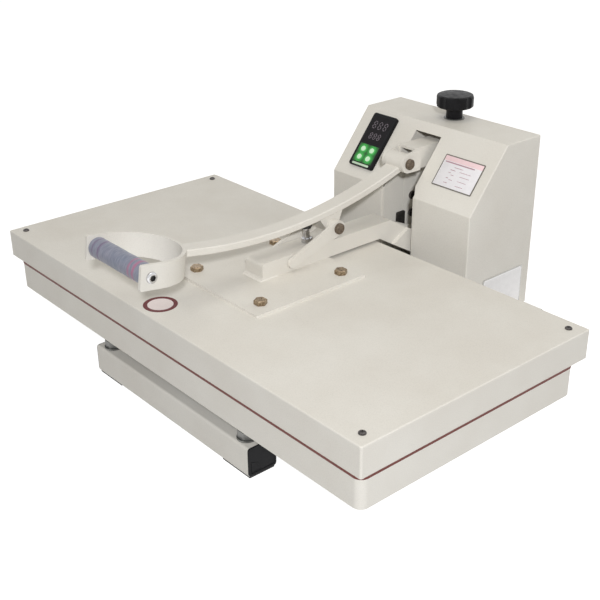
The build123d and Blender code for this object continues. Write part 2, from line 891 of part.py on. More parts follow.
with BuildPart() as hinge_sleeve:
    with BuildSketch(side_plane(0)):
        with Locations((hinge_d, hinge_z)):
            Circle(hinge_sleeve_radius)
            Circle(hinge_shaft_radius + running_gap, mode=Mode.SUBTRACT)
    extrude(amount=cheek_side - hinge_side_gap, both=True)
hinge_sleeve.part.label = "hinge_sleeve"
export_step(hinge_sleeve.part, "parts/hinge_sleeve.step")

with BuildPart() as lower_link_pin:
    with BuildSketch(side_plane(0)):
        with Locations((lower_pin_d, lower_pin_z)):
            Circle(lower_pin_radius)
    extrude(amount=bush_side, both=True)
lower_link_pin.part.label = "lower_link_pin"
export_step(lower_link_pin.part, "parts/lower_link_pin.step")

# Centre plate, bolted through the cover to the platen
plate_bolt_places = [
    (x, plate_mid_d + step)
    for x in (-plate_bolt_spacing / 2, plate_bolt_spacing / 2)
    for step in (-plate_bolt_spacing / 2, plate_bolt_spacing / 2)
]
post_places = [
    (x, d)
    for x in (-cover_width / 2 + post_side, cover_width / 2 - post_side)
    for d in (post_fore, cover_depth - post_fore)
]

with BuildPart() as centre_plate:
    with BuildSketch(level_plane(cover_top_z)):
        with Locations((0, plate_mid_d)):
            RectangleRounded(plate_size, plate_size, plate_corner)
        with Locations(*plate_bolt_places):
            Circle(plate_bolt_radius + screw_gap, mode=Mode.SUBTRACT)
    extrude(amount=plate_thick)
centre_plate.part.label = "centre_plate"
export_step(centre_plate.part, "parts/centre_plate.step")

with BuildPart() as plate_bolts:
    with BuildSketch(level_plane(plate_top_z)):
        with Locations(*plate_bolt_places):
            RegularPolygon(plate_bolt_flats / 2, 6, major_radius=False)
    extrude(amount=plate_bolt_head)
    chamfer(plate_bolts.edges().group_by(Axis.Z)[-1], plate_bolt_head / 6)
    with BuildSketch(level_plane(plate_top_z)):
        with Locations(*plate_bolt_places):
            Circle(plate_bolt_radius)
    extrude(amount=-(plate_top_z - platen_top_z + plate_bolt_bite))
plate_bolts.part.label = "plate_bolts"
export_step(plate_bolts.part, "parts/plate_bolts.step")

# Upper cover, folded from sheet and open below
with BuildPart() as upper_cover:
    with BuildSketch(level_plane(cover_bottom_z)):
        with Locations((0, cover_mid_d)):
            RectangleRounded(cover_width, cover_depth, cover_corner)
    extrude(amount=cover_height)
    fillet(upper_cover.faces().sort_by(Axis.Z)[-1].edges(), cover_bend)
    offset(amount=-cover_sheet, openings=upper_cover.faces().sort_by(Axis.Z)[0])
    with BuildSketch(level_plane(cover_top_z)):
        with Locations(*plate_bolt_places):
            Circle(plate_bolt_radius + screw_gap)
        with Locations(*post_places):
            Circle(corner_screw_radius + screw_gap)
    extrude(amount=-cover_sheet, mode=Mode.SUBTRACT)
upper_cover.part.label = "upper_cover"
export_step(upper_cover.part, "parts/upper_cover.step")

with BuildPart() as cover_screws:
    with BuildSketch(level_plane(cover_top_z)):
        with Locations(*post_places):
            Circle(corner_head_radius)
    extrude(amount=corner_head_height)
    chamfer(cover_screws.edges().group_by(Axis.Z)[-1], corner_head_edge)
    with BuildSketch(level_plane(cover_top_z)):
        with Locations(*post_places):
            Circle(corner_screw_radius)
    extrude(amount=-corner_screw_length)
cover_screws.part.label = "cover_screws"
export_step(cover_screws.part, "parts/cover_screws.step")

# Heat platen with its square heating bar, laid to and fro in a groove
element_pitch = (plate_bolt_spacing / 2 + element_bolt_gap) * 2 / 3
element_front_legs = int((plate_mid_d - platen_front_d - element_margin) / element_pitch + 0.5)
element_back_legs = int((platen_back_d - plate_mid_d - element_margin) / element_pitch + 0.5)
element_legs = element_front_legs + element_back_legs
element_turns = []
for leg in range(element_legs):
    leg_d = plate_mid_d + (leg - element_front_legs + 0.5) * element_pitch
    leg_ends = [(-element_run / 2, leg_d), (element_run / 2, leg_d)]
    element_turns.append(leg_ends if leg % 2 == 0 else leg_ends[::-1])


def element_line():
    """Path of the heating bar: straight legs joined by half turns."""
    for leg in range(element_legs):
        Line(*element_turns[leg])
        if leg + 1 < element_legs:
            turn_start = element_turns[leg][1]
            turn_end = element_turns[leg + 1][0]
            out = element_pitch / 2 if turn_start[0] > 0 else -element_pitch / 2
            ThreePointArc(
                turn_start,
                (turn_start[0] + out, (turn_start[1] + turn_end[1]) / 2),
                turn_end,
            )


with BuildPart() as heating_element:
    with BuildLine(level_plane(platen_top_z)) as element_path:
        element_line()
    with BuildSketch(Plane(origin=element_path.line @ 0, z_dir=element_path.line % 0)):
        Rectangle(element_side, element_side)
    sweep(path=element_path.line)
heating_element.part.label = "heating_element"
export_step(heating_element.part, "parts/heating_element.step")

with BuildPart() as heat_platen:
    with BuildSketch(level_plane(platen_bottom_z)):
        with Locations((0, cover_mid_d)):
            RectangleRounded(platen_width, platen_depth, platen_corner)
    extrude(amount=platen_thick)
    with BuildLine(level_plane(platen_top_z)) as groove_path:
        element_line()
    with BuildSketch(Plane(origin=groove_path.line @ 0, z_dir=groove_path.line % 0)):
        Rectangle(element_side + 2 * fit_gap, element_side + 2 * fit_gap)
    sweep(path=groove_path.line, mode=Mode.SUBTRACT)
    with BuildSketch(level_plane(platen_top_z)):
        with Locations(*plate_bolt_places):
            Circle(plate_bolt_radius + screw_gap)
    extrude(amount=-plate_bolt_bite, mode=Mode.SUBTRACT)
heat_platen.part.label = "heat_platen"
export_step(heat_platen.part, "parts/heat_platen.step")

with BuildPart() as insulation_blanket:
    with BuildSketch(level_plane(platen_top_z + element_side / 2 + fit_gap)):
        with Locations((0, cover_mid_d)):
            RectangleRounded(
                platen_width - 2 * blanket_margin,
                platen_depth - 2 * blanket_margin,
                platen_corner,
            )
        with Locations(*plate_bolt_places):
            Circle(standoff_radius + fit_gap, mode=Mode.SUBTRACT)
        with Locations(*post_places):
            Rectangle(4 * post_radius, 4 * post_radius, mode=Mode.SUBTRACT)
    extrude(amount=blanket_thick)
insulation_blanket.part.label = "insulation_blanket"
export_step(insulation_blanket.part, "parts/insulation_blanket.step")

with BuildPart() as platen_standoffs:
    with BuildSketch(level_plane(platen_top_z)):
        with Locations(*plate_bolt_places):
            Circle(standoff_radius)
            Circle(plate_bolt_radius + screw_gap, mode=Mode.SUBTRACT)
        with Locations(*post_places):
            Circle(post_radius)
            Circle(corner_screw_radius + screw_gap, mode=Mode.SUBTRACT)
    extrude(amount=cover_top_z - cover_sheet - platen_top_z)
platen_standoffs.part.label = "platen_standoffs"
export_step(platen_standoffs.part, "parts/platen_standoffs.step")

# Link: two tapered plates on a bolt through the lever's lug
with BuildPart() as link_plates:
    with BuildSketch(side_plane(link_inner_side)):
        with Locations((link_bolt_d, link_bolt_z)):
            Circle(link_eye_radius)
        with Locations((lower_pin_d, lower_pin_z)):
            Circle(link_end_radius)
        make_hull()
        with Locations((link_bolt_d, link_bolt_z)):
            Circle(link_bolt_radius + running_gap, mode=Mode.SUBTRACT)
    extrude(amount=link_thick)
    mirror(about=Plane.YZ)
link_plates.part.label = "link_plates"
export_step(link_plates.part, "parts/link_plates.step")

with BuildPart() as link_bolt:
    with BuildSketch(side_plane(link_outer_side)):
        with Locations((link_bolt_d, link_bolt_z)):
            Circle(bolt_head_radius)
    extrude(amount=bolt_head_height)
    chamfer(link_bolt.edges().sort_by(Axis.X)[-1], bolt_head_edge)
    with BuildSketch(side_plane(link_outer_side)):
        with Locations((link_bolt_d, link_bolt_z)):
            Circle(link_bolt_radius)
    extrude(amount=-(2 * link_outer_side + link_nut_height))
    with BuildSketch(side_plane(-link_outer_side)):
        with Locations((link_bolt_d, link_bolt_z)):
            RegularPolygon(bolt_head_radius, 6, major_radius=False)
            Circle(link_bolt_radius + running_gap, mode=Mode.SUBTRACT)
    extrude(amount=-link_nut_height)
link_bolt.part.label = "link_bolt"
export_step(link_bolt.part, "parts/link_bolt.step")

# Lever: a bowed flat bar with an eye boss behind, welded to the handle strap in front
strap_back = strap_straight + strap_radius
lever_front_d = (strap_back - strap_nose) * tilt_cos - grip_ahead
lever_middle_d = (lever_front_d + pivot_d) / 2
with BuildPart() as lever_arm:
    with BuildSketch(side_plane(0)):
        with BuildLine():
            ThreePointArc(
                (lever_front_d, bow_z(lever_front_d, lever_thick / 2)),
                (lever_middle_d, bow_z(lever_middle_d, lever_thick / 2)),
                (pivot_d, bow_z(pivot_d, lever_thick / 2)),
            )
            Line((pivot_d, bow_z(pivot_d, lever_thick / 2)), (pivot_d, bow_z(pivot_d, -lever_thick / 2)))
            ThreePointArc(
                (pivot_d, bow_z(pivot_d, -lever_thick / 2)),
                (lever_middle_d, bow_z(lever_middle_d, -lever_thick / 2)),
                (lever_front_d, bow_z(lever_front_d, -lever_thick / 2)),
            )
            Line(
                (lever_front_d, bow_z(lever_front_d, -lever_thick / 2)),
                (lever_front_d, bow_z(lever_front_d, lever_thick / 2)),
            )
        make_face()
    extrude(amount=lever_width / 2, both=True)
    chamfer(lever_arm.edges().sort_by(SortBy.LENGTH)[-4:], lever_edge)
    with BuildSketch(strap_plane(0)):
        with Locations((0, strap_straight)):
            Circle(strap_radius)
    extrude(amount=strap_height, both=True, mode=Mode.SUBTRACT)
    with BuildSketch(side_plane(0)):
        with Locations((pivot_d, pivot_z)):
            Circle(lever_eye_radius)
    extrude(amount=ear_inner_side - boss_side_gap, both=True)
    with BuildSketch(side_plane(0)):
        with Locations((pivot_d, pivot_z)):
            Circle(pivot_bolt_radius + running_gap)
    extrude(amount=ear_inner_side, both=True, mode=Mode.SUBTRACT)
    with BuildSketch(bow_plane(stop_d, lever_thick)):
        Circle(stop_bolt_radius + screw_gap)
    extrude(amount=lever_thick / 2 + stop_bite + fit_gap, mode=Mode.SUBTRACT)
lever_arm.part.label = "lever_arm"
export_step(lever_arm.part, "parts/lever_arm.step")

with BuildPart() as lever_lug:
    with BuildSketch(side_plane(0)):
        with BuildLine():
            Polyline(
                (link_bolt_d - lug_front, bow_z(link_bolt_d - lug_front, 0)),
                (link_bolt_d + lug_back, bow_z(link_bolt_d + lug_back, 0)),
                (link_bolt_d, link_bolt_z),
                close=True,
            )
        make_face()
        with Locations((link_bolt_d, link_bolt_z)):
            Circle(lug_radius)
        make_hull()
        with Locations((lever_low_set, cover_top_z + lever_low_height + lever_bow)):
            Circle(lever_bow + lever_thick / 2, mode=Mode.SUBTRACT)
    extrude(amount=lug_width / 2, both=True)
    with BuildSketch(side_plane(0)):
        with Locations((link_bolt_d, link_bolt_z)):
            Circle(lug_radius)
    extrude(amount=bush_side, both=True)
    with BuildSketch(side_plane(0)):
        with Locations((link_bolt_d, link_bolt_z)):
            Circle(link_bolt_radius + running_gap)
    extrude(amount=bush_side, both=True, mode=Mode.SUBTRACT)
lever_lug.part.label = "lever_lug"
export_step(lever_lug.part, "parts/lever_lug.step")

# Stop bolt screwed up into the lever and locked by a nut; its head lands on the arm
stop_reach = bow_z(stop_d, 0) - arm_top_z - stop_clear
with BuildPart() as stop_bolt:
    with BuildSketch(bow_plane(stop_d, stop_reach)):
        RegularPolygon(stop_head_flats / 2, 6, major_radius=False)
    extrude(amount=stop_head_height)
    with BuildSketch(bow_plane(stop_d, stop_reach)):
        Circle(stop_bolt_radius)
    extrude(amount=stop_reach - lever_thick / 2 + stop_bite)
stop_bolt.part.label = "stop_bolt"
export_step(stop_bolt.part, "parts/stop_bolt.step")

with BuildPart() as stop_nut:
    with BuildSketch(bow_plane(stop_d, lever_thick / 2)):
        RegularPolygon(stop_nut_flats / 2, 6, major_radius=False)
        Circle(stop_bolt_radius + screw_gap, mode=Mode.SUBTRACT)
    extrude(amount=-stop_nut_height)
stop_nut.part.label = "stop_nut"
export_step(stop_nut.part, "parts/stop_nut.step")

# Handle: a flat strap bent to a loop, with a foam grip on a rod across its ends
strap_inner = strap_radius - strap_thick
with BuildPart() as handle_strap:
    with BuildSketch(strap_plane(0)):
        with BuildLine():
            Line((strap_radius, -strap_nose), (strap_radius, strap_straight))
            ThreePointArc(
                (strap_radius, strap_straight),
                (0, strap_straight + strap_radius),
                (-strap_radius, strap_straight),
            )
            Line((-strap_radius, strap_straight), (-strap_radius, -strap_nose))
            Line((-strap_radius, -strap_nose), (-strap_inner, -strap_nose))
            Line((-strap_inner, -strap_nose), (-strap_inner, strap_straight))
            ThreePointArc(
                (-strap_inner, strap_straight),
                (0, strap_straight + strap_inner),
                (strap_inner, strap_straight),
            )
            Line((strap_inner, strap_straight), (strap_inner, -strap_nose))
            Line((strap_inner, -strap_nose), (strap_radius, -strap_nose))
        make_face()
    extrude(amount=strap_height / 2, both=True)
    fillet(handle_strap.edges().filter_by(Axis.X), strap_round)
    with BuildSketch(side_plane(0)):
        with Locations((-grip_ahead, grip_z)):
            Circle(grip_screw_radius + screw_gap)
    extrude(amount=strap_radius, both=True, mode=Mode.SUBTRACT)
handle_strap.part.label = "handle_strap"
export_step(handle_strap.part, "parts/handle_strap.step")

with BuildPart() as grip_rod:
    with BuildSketch(side_plane(0)):
        with Locations((-grip_ahead, grip_z)):
            Circle(grip_rod_radius)
    extrude(amount=strap_inner, both=True)
    with BuildSketch(side_plane(strap_inner)):
        with Locations((-grip_ahead, grip_z)):
            Circle(grip_screw_radius + screw_gap)
    extrude(amount=-grip_screw_bite, mode=Mode.SUBTRACT)
    with BuildSketch(side_plane(-strap_inner)):
        with Locations((-grip_ahead, grip_z)):
            Circle(grip_screw_radius + screw_gap)
    extrude(amount=grip_screw_bite, mode=Mode.SUBTRACT)
grip_rod.part.label = "grip_rod"
export_step(grip_rod.part, "parts/grip_rod.step")

with BuildPart() as handle_grip:
    with BuildSketch(side_plane(0)):
        with Locations((-grip_ahead, grip_z)):
            Circle(grip_radius)
            Circle(grip_rod_radius + fit_gap, mode=Mode.SUBTRACT)
    extrude(amount=strap_inner - fit_gap, both=True)
handle_grip.part.label = "handle_grip"
export_step(handle_grip.part, "parts/handle_grip.step")

with BuildPart() as grip_screws:
    with BuildSketch(side_plane(strap_radius)):
        with Locations((-grip_ahead, grip_z)):
            Circle(grip_head_radius)
    extrude(amount=grip_head_height)
    chamfer(grip_screws.edges().sort_by(Axis.X)[-1], grip_head_edge)
    with BuildSketch(side_plane(strap_radius)):
        with Locations((-grip_ahead, grip_z)):
            Circle(grip_screw_radius)
    extrude(amount=-(strap_thick + grip_screw_bite))
    mirror(about=Plane.YZ)
grip_screws.part.label = "grip_screws"
export_step(grip_screws.part, "parts/grip_screws.step")

# Pressure arm: a box tube from the guide block to two ears that hold the lever's pivot
guide_front_d = knob_d - guide_block_depth / 2
arm_front_d = column_front + pressure_arm_set
with BuildPart() as pressure_arm:
    with BuildSketch(front_plane(guide_front_d)):
        with Locations((0, pressure_arm_z + pressure_arm_height / 2)):
            Rectangle(pressure_arm_width, pressure_arm_height)
            Rectangle(
                pressure_arm_width - 2 * pressure_arm_wall,
                pressure_arm_height - 2 * pressure_arm_wall,
                mode=Mode.SUBTRACT,
            )
    extrude(amount=guide_front_d - arm_front_d)
pressure_arm.part.label = "pressure_arm"
export_step(pressure_arm.part, "parts/pressure_arm.step")

with BuildPart() as pivot_ears:
    with BuildSketch(side_plane(ear_inner_side)):
        with BuildLine():
            Polyline(
                (pivot_d, pivot_z),
                (pivot_d + ear_back, pressure_arm_z),
                (pivot_d + ear_back, pressure_arm_z + pressure_arm_height),
                close=True,
            )
        make_face()
        with Locations((pivot_d, pivot_z)):
            Circle(ear_radius)
        make_hull()
        with Locations((pivot_d, pivot_z)):
            Circle(pivot_bolt_radius + running_gap, mode=Mode.SUBTRACT)
    extrude(amount=ear_thick)
    mirror(about=Plane.YZ)
pivot_ears.part.label = "pivot_ears"
export_step(pivot_ears.part, "parts/pivot_ears.step")

with BuildPart() as pivot_bolt:
    with BuildSketch(side_plane(ear_outer_side)):
        with Locations((pivot_d, pivot_z)):
            Circle(bolt_head_radius)
    extrude(amount=bolt_head_height)
    chamfer(pivot_bolt.edges().sort_by(Axis.X)[-1], bolt_head_edge)
    with BuildSketch(side_plane(ear_outer_side)):
        with Locations((pivot_d, pivot_z)):
            Circle(pivot_bolt_radius)
    extrude(amount=-(2 * ear_outer_side + pivot_nut_height))
    with BuildSketch(side_plane(-ear_outer_side)):
        with Locations((pivot_d, pivot_z)):
            RegularPolygon(bolt_head_radius, 6, major_radius=False)
            Circle(pivot_bolt_radius + running_gap, mode=Mode.SUBTRACT)
    extrude(amount=-pivot_nut_height)
pivot_bolt.part.label = "pivot_bolt"
export_step(pivot_bolt.part, "parts/pivot_bolt.step")

with BuildPart() as guide_block:
    with BuildSketch(level_plane(guide_block_z)):
        with Locations((0, knob_d)):
            Rectangle(2 * (cheek_side - guide_side_gap), guide_block_depth)
            Circle(screw_radius + running_gap, mode=Mode.SUBTRACT)
    extrude(amount=guide_block_height)
guide_block.part.label = "guide_block"
export_step(guide_block.part, "parts/guide_block.step")

with BuildPart() as pressure_screw:
    screw_foot_z = guide_block_z - screw_tail
    with BuildSketch(level_plane(screw_foot_z)):
        with Locations((0, knob_d)):
            Circle(screw_radius)
    extrude(amount=knob_foot_z + screw_hold - screw_foot_z)
    with BuildSketch(level_plane(cheek_top_z)):
        with Locations((0, knob_d)):
            Circle(screw_collar_radius)
    extrude(amount=-screw_collar_height)
pressure_screw.part.label = "pressure_screw"
export_step(pressure_screw.part, "parts/pressure_screw.step")

with BuildPart() as knob_washer:
    with BuildSketch(level_plane(column_top_z)):
        with Locations((0, knob_d)):
            Circle(knob_washer_radius)
            Circle(screw_radius + running_gap, mode=Mode.SUBTRACT)
    extrude(amount=knob_washer_thick)
knob_washer.part.label = "knob_washer"
export_step(knob_washer.part, "parts/knob_washer.step")

# Knob: turned head on a neck, with shallow finger scallops round its edge
knob_head_z = knob_foot_z + knob_neck_height
knob_top_z = knob_head_z + knob_head_height
with BuildPart() as pressure_knob:
    with BuildSketch(side_plane(0)):
        with BuildLine():
            Polyline(
                (knob_d, knob_foot_z),
                (knob_d + knob_neck_radius, knob_foot_z),
                (knob_d + knob_neck_radius, knob_head_z),
                (knob_d + knob_radius - knob_edge / 2, knob_head_z),
                (knob_d + knob_radius, knob_head_z + knob_edge / 2),
                (knob_d + knob_radius, knob_top_z - knob_edge),
                (knob_d + knob_radius - 0.3 * knob_edge, knob_top_z - 0.3 * knob_edge),
                (knob_d + knob_radius - knob_edge, knob_top_z),
                (knob_d, knob_top_z + knob_crown),
                close=True,
            )
        make_face()
    revolve(axis=Axis((0, front_y + knob_d, 0), (0, 0, 1)))
    with BuildSketch(level_plane(knob_head_z)):
        with Locations((0, knob_d)):
            with PolarLocations(knob_radius + knob_scallop_radius - knob_scallop_depth, knob_lobes):
                Circle(knob_scallop_radius)
    extrude(amount=knob_head_height + knob_crown, mode=Mode.SUBTRACT)
    with BuildSketch(level_plane(knob_foot_z)):
        with Locations((0, knob_d)):
            Circle(screw_radius + running_gap)
    extrude(amount=screw_hold, mode=Mode.SUBTRACT)
pressure_knob.part.label = "pressure_knob"
export_step(pressure_knob.part, "parts/pressure_knob.step")

# Controller on the slope: a case behind, a bezel in front, window, keypad and four keys
key_places = [
    (x, keypad_along + step)
    for step in (-key_spacing_y / 2, key_spacing_y / 2)
    for x in (-key_spacing_x / 2, key_spacing_x / 2)
]
key_base = controller_height + key_proud - key_height
with BuildPart() as controller_case:
    with BuildSketch(slope_plane(-controller_side, controller_along, 0)):
        RectangleRounded(controller_width, controller_length, controller_corner)
    extrude(amount=controller_height)
    top_face = controller_case.faces().sort_by(Axis((0, 0, 0), (0, -slope_sin, slope_cos)))[-1]
    chamfer(top_face.edges(), controller_edge)
    with BuildSketch(slope_plane(-controller_side, controller_along, 0)):
        Rectangle(controller_width - 2 * case_margin, controller_length - 2 * case_margin)
    extrude(amount=-case_depth)
    with BuildSketch(slope_plane(-controller_side, controller_along, controller_height)):
        with Locations((0, window_along)):
            Rectangle(window_width, window_length)
    extrude(amount=-window_thick, mode=Mode.SUBTRACT)
    with BuildSketch(slope_plane(-controller_side, controller_along, controller_height)):
        with Locations((0, keypad_along)):
            Rectangle(keypad_width, keypad_length)
    extrude(amount=-keypad_thick, mode=Mode.SUBTRACT)
    with BuildSketch(slope_plane(-controller_side, controller_along, controller_height)):
        with Locations(*key_places):
            Circle(key_radius + key_gap)
    extrude(amount=-(key_height - key_proud + key_travel + key_gap), mode=Mode.SUBTRACT)
controller_case.part.label = "controller_case"
export_step(controller_case.part, "parts/controller_case.step")

with BuildPart() as display_window:
    with BuildSketch(slope_plane(-controller_side, controller_along, controller_height)):
        with Locations((0, window_along)):
            Rectangle(window_width - 2 * running_gap, window_length - 2 * running_gap)
    extrude(amount=-window_thick)
display_window.part.label = "display_window"
export_step(display_window.part, "parts/display_window.step")

with BuildPart() as keypad:
    with BuildSketch(slope_plane(-controller_side, controller_along, controller_height)):
        with Locations((0, keypad_along)):
            Rectangle(keypad_width - 2 * running_gap, keypad_length - 2 * running_gap)
        with Locations(*key_places):
            Circle(key_radius + key_gap, mode=Mode.SUBTRACT)
    extrude(amount=-keypad_thick)
keypad.part.label = "keypad"
export_step(keypad.part, "parts/keypad.step")


def key_sketch(place):
    """Round outline of one key at its place on the bezel."""
    with Locations(place):
        Circle(key_radius)


with BuildPart() as mode_key:
    with BuildSketch(slope_plane(-controller_side, controller_along, key_base)):
        key_sketch(key_places[0])
    extrude(amount=key_height)
mode_key.part.label = "mode_key"
export_step(mode_key.part, "parts/mode_key.step")

with BuildPart() as select_key:
    with BuildSketch(slope_plane(-controller_side, controller_along, key_base)):
        key_sketch(key_places[1])
    extrude(amount=key_height)
select_key.part.label = "select_key"
export_step(select_key.part, "parts/select_key.step")

with BuildPart() as down_key:
    with BuildSketch(slope_plane(-controller_side, controller_along, key_base)):
        key_sketch(key_places[2])
    extrude(amount=key_height)
down_key.part.label = "down_key"
export_step(down_key.part, "parts/down_key.step")

with BuildPart() as up_key:
    with BuildSketch(slope_plane(-controller_side, controller_along, key_base)):
        key_sketch(key_places[3])
    extrude(amount=key_height)
up_key.part.label = "up_key"
export_step(up_key.part, "parts/up_key.step")

# Plates on the slope and on the column's side
with BuildPart() as instruction_plate:
    with BuildSketch(slope_plane(card_side, card_along, 0)):
        RectangleRounded(card_width, card_length, card_corner)
    extrude(amount=card_thick)
instruction_plate.part.label = "instruction_plate"
export_step(instruction_plate.part, "parts/instruction_plate.step")

with BuildPart() as rating_plate:
    with BuildSketch(side_plane(column_width / 2)):
        with Locations((column_front + label_set, label_z)):
            RectangleRounded(label_width, label_height, card_corner)
    extrude(amount=card_thick)
rating_plate.part.label = "rating_plate"
export_step(rating_plate.part, "parts/rating_plate.step")

# Rocker switch and cable gland in the back panel
switch_well_width = switch_width + 2 * rocker_gap
switch_well_length = switch_length + 2 * rocker_gap
with BuildPart() as switch_housing:
    with BuildSketch(back_plane(column_back)):
        with Locations((switch_side, switch_z)):
            Rectangle(switch_well_width + 2 * switch_frame, switch_well_length + 2 * switch_frame)
    extrude(amount=switch_flange)
    with BuildSketch(back_plane(column_back)):
        with Locations((switch_side, switch_z)):
            Rectangle(switch_well_width + 2 * switch_wall, switch_well_length + 2 * switch_wall)
    extrude(amount=-switch_depth)
    with BuildSketch(back_plane(column_back + switch_flange)):
        with Locations((switch_side, switch_z)):
            Rectangle(switch_well_width, switch_well_length)
    extrude(amount=-(switch_flange + switch_depth - switch_wall), mode=Mode.SUBTRACT)
switch_housing.part.label = "switch_housing"
export_step(switch_housing.part, "parts/switch_housing.step")

rocker_plane = Plane(
    origin=(-switch_side, front_y + column_back, switch_z),
    x_dir=(0, cos(radians(rocker_tilt)), sin(radians(rocker_tilt))),
    z_dir=(1, 0, 0),
)
with BuildPart() as switch_rocker:
    rocker_half = switch_length / 2 - rocker_inset
    with BuildSketch(rocker_plane):
        with BuildLine():
            Polyline(
                (-rocker_depth, -rocker_half),
                (-rocker_depth, rocker_half),
                (rocker_reach, rocker_half),
                (rocker_reach - rocker_dip, 0),
                (rocker_reach, -rocker_half),
                close=True,
            )
        make_face()
    extrude(amount=switch_width / 2, both=True)
    with BuildSketch(rocker_plane):
        Circle(rocker_pin_radius)
    extrude(amount=switch_width / 2 + rocker_gap / 2, both=True)
switch_rocker.part.label = "switch_rocker"
export_step(switch_rocker.part, "parts/switch_rocker.step")

with BuildPart() as cable_gland:
    with BuildSketch(back_plane(column_back)):
        with Locations((-gland_side, gland_z)):
            RegularPolygon(gland_flats / 2, 6, major_radius=False)
    extrude(amount=gland_collar)
    with BuildSketch(back_plane(column_back + gland_collar)):
        with Locations((-gland_side, gland_z)):
            Circle(gland_dome_radius)
    extrude(amount=gland_reach - gland_collar)
    chamfer(cable_gland.edges().sort_by(Axis.Y)[-1], (gland_dome_radius - gland_bore) / 2)
    with BuildSketch(back_plane(column_back)):
        with Locations((-gland_side, gland_z)):
            Circle(gland_radius)
    extrude(amount=-gland_inside)
    with BuildSketch(back_plane(column_back + gland_reach)):
        with Locations((-gland_side, gland_z)):
            Circle(gland_bore)
    extrude(amount=-(gland_reach + gland_inside), mode=Mode.SUBTRACT)
    with BuildSketch(back_plane(column_back - column_sheet)):
        with Locations((-gland_side, gland_z)):
            RegularPolygon(gland_flats / 2, 6, major_radius=False)
            Circle(gland_radius + screw_gap, mode=Mode.SUBTRACT)
    extrude(amount=-gland_nut_height)
cable_gland.part.label = "cable_gland"
export_step(cable_gland.part, "parts/cable_gland.step")
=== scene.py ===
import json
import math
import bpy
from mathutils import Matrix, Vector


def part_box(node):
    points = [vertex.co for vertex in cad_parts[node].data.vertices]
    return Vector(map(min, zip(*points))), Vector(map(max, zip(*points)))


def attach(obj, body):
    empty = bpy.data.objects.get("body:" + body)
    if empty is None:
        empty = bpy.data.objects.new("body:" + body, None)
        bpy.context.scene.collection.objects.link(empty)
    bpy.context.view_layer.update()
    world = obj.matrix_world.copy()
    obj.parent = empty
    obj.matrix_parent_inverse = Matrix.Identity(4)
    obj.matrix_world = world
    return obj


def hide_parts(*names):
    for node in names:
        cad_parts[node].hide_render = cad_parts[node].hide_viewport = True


bl_info = {
    "name": "Fusing Press Dresser",
    "version": (1, 0, 0),
    "blender": (4, 5, 0),
    "location": "View3D > Sidebar > Press",
    "description": "Adds the soft parts, prints, screw heads, welds and finishes of a clamshell fusing press",
    "category": "Object",
}

import bmesh
import bpy
from bpy.props import FloatProperty, FloatVectorProperty, IntProperty, PointerProperty
from mathutils import Matrix, Vector

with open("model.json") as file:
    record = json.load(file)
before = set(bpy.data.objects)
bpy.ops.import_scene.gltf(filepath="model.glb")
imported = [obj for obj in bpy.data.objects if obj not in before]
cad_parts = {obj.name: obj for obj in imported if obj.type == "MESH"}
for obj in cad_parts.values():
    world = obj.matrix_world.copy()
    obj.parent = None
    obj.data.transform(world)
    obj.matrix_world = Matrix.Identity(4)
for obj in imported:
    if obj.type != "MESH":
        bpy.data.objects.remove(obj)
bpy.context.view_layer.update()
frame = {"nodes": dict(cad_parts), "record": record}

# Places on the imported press, in metres
COVER_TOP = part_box("upper_cover")[1][2]
COVER_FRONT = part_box("upper_cover")[0][1]
COVER_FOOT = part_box("upper_cover")[0][2]
PLATE_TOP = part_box("centre_plate")[1][2]
COLUMN_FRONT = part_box("column_shell")[0][1]

# The column's slope, and the middles of the controller and the instruction plate on it
SLOPE_ANGLE = math.atan2(0.0982, 0.0787)
SLOPE_FOOT_Z = 0.2383
BEZEL_SIDE = -0.0975
BEZEL_ALONG = 0.067
BEZEL_LIFT = 0.006
CARD_SIDE = 0.0942
CARD_ALONG = 0.0582
CARD_LIFT = 0.0008
CARD_PLATE = (0.0804, 0.0536)

# Turn of a piece modelled flat, so that it faces right and its length runs from front to back
FACING_RIGHT = Matrix(((0, 0, 1, 0), (1, 0, 0, 0), (0, 1, 0, 0), (0, 0, 0, 1)))

# What like settings share
COLOR = {"subtype": "COLOR", "size": 3, "min": 0, "max": 1}
LENGTH = {"subtype": "DISTANCE", "unit": "LENGTH"}
PLACE = {"subtype": "XYZ", "unit": "LENGTH", "size": 3}
POWER = {"subtype": "POWER", "unit": "POWER"}


def ink(red, green, blue):
    """Linear colour of an 8-bit screen colour."""
    steps = []
    for value in (red, green, blue):
        share = value / 255
        steps.append(share / 12.92 if share <= 0.04045 else ((share + 0.055) / 1.055) ** 2.4)
    return tuple(steps)


# ---------------------------------------------------------------- settings


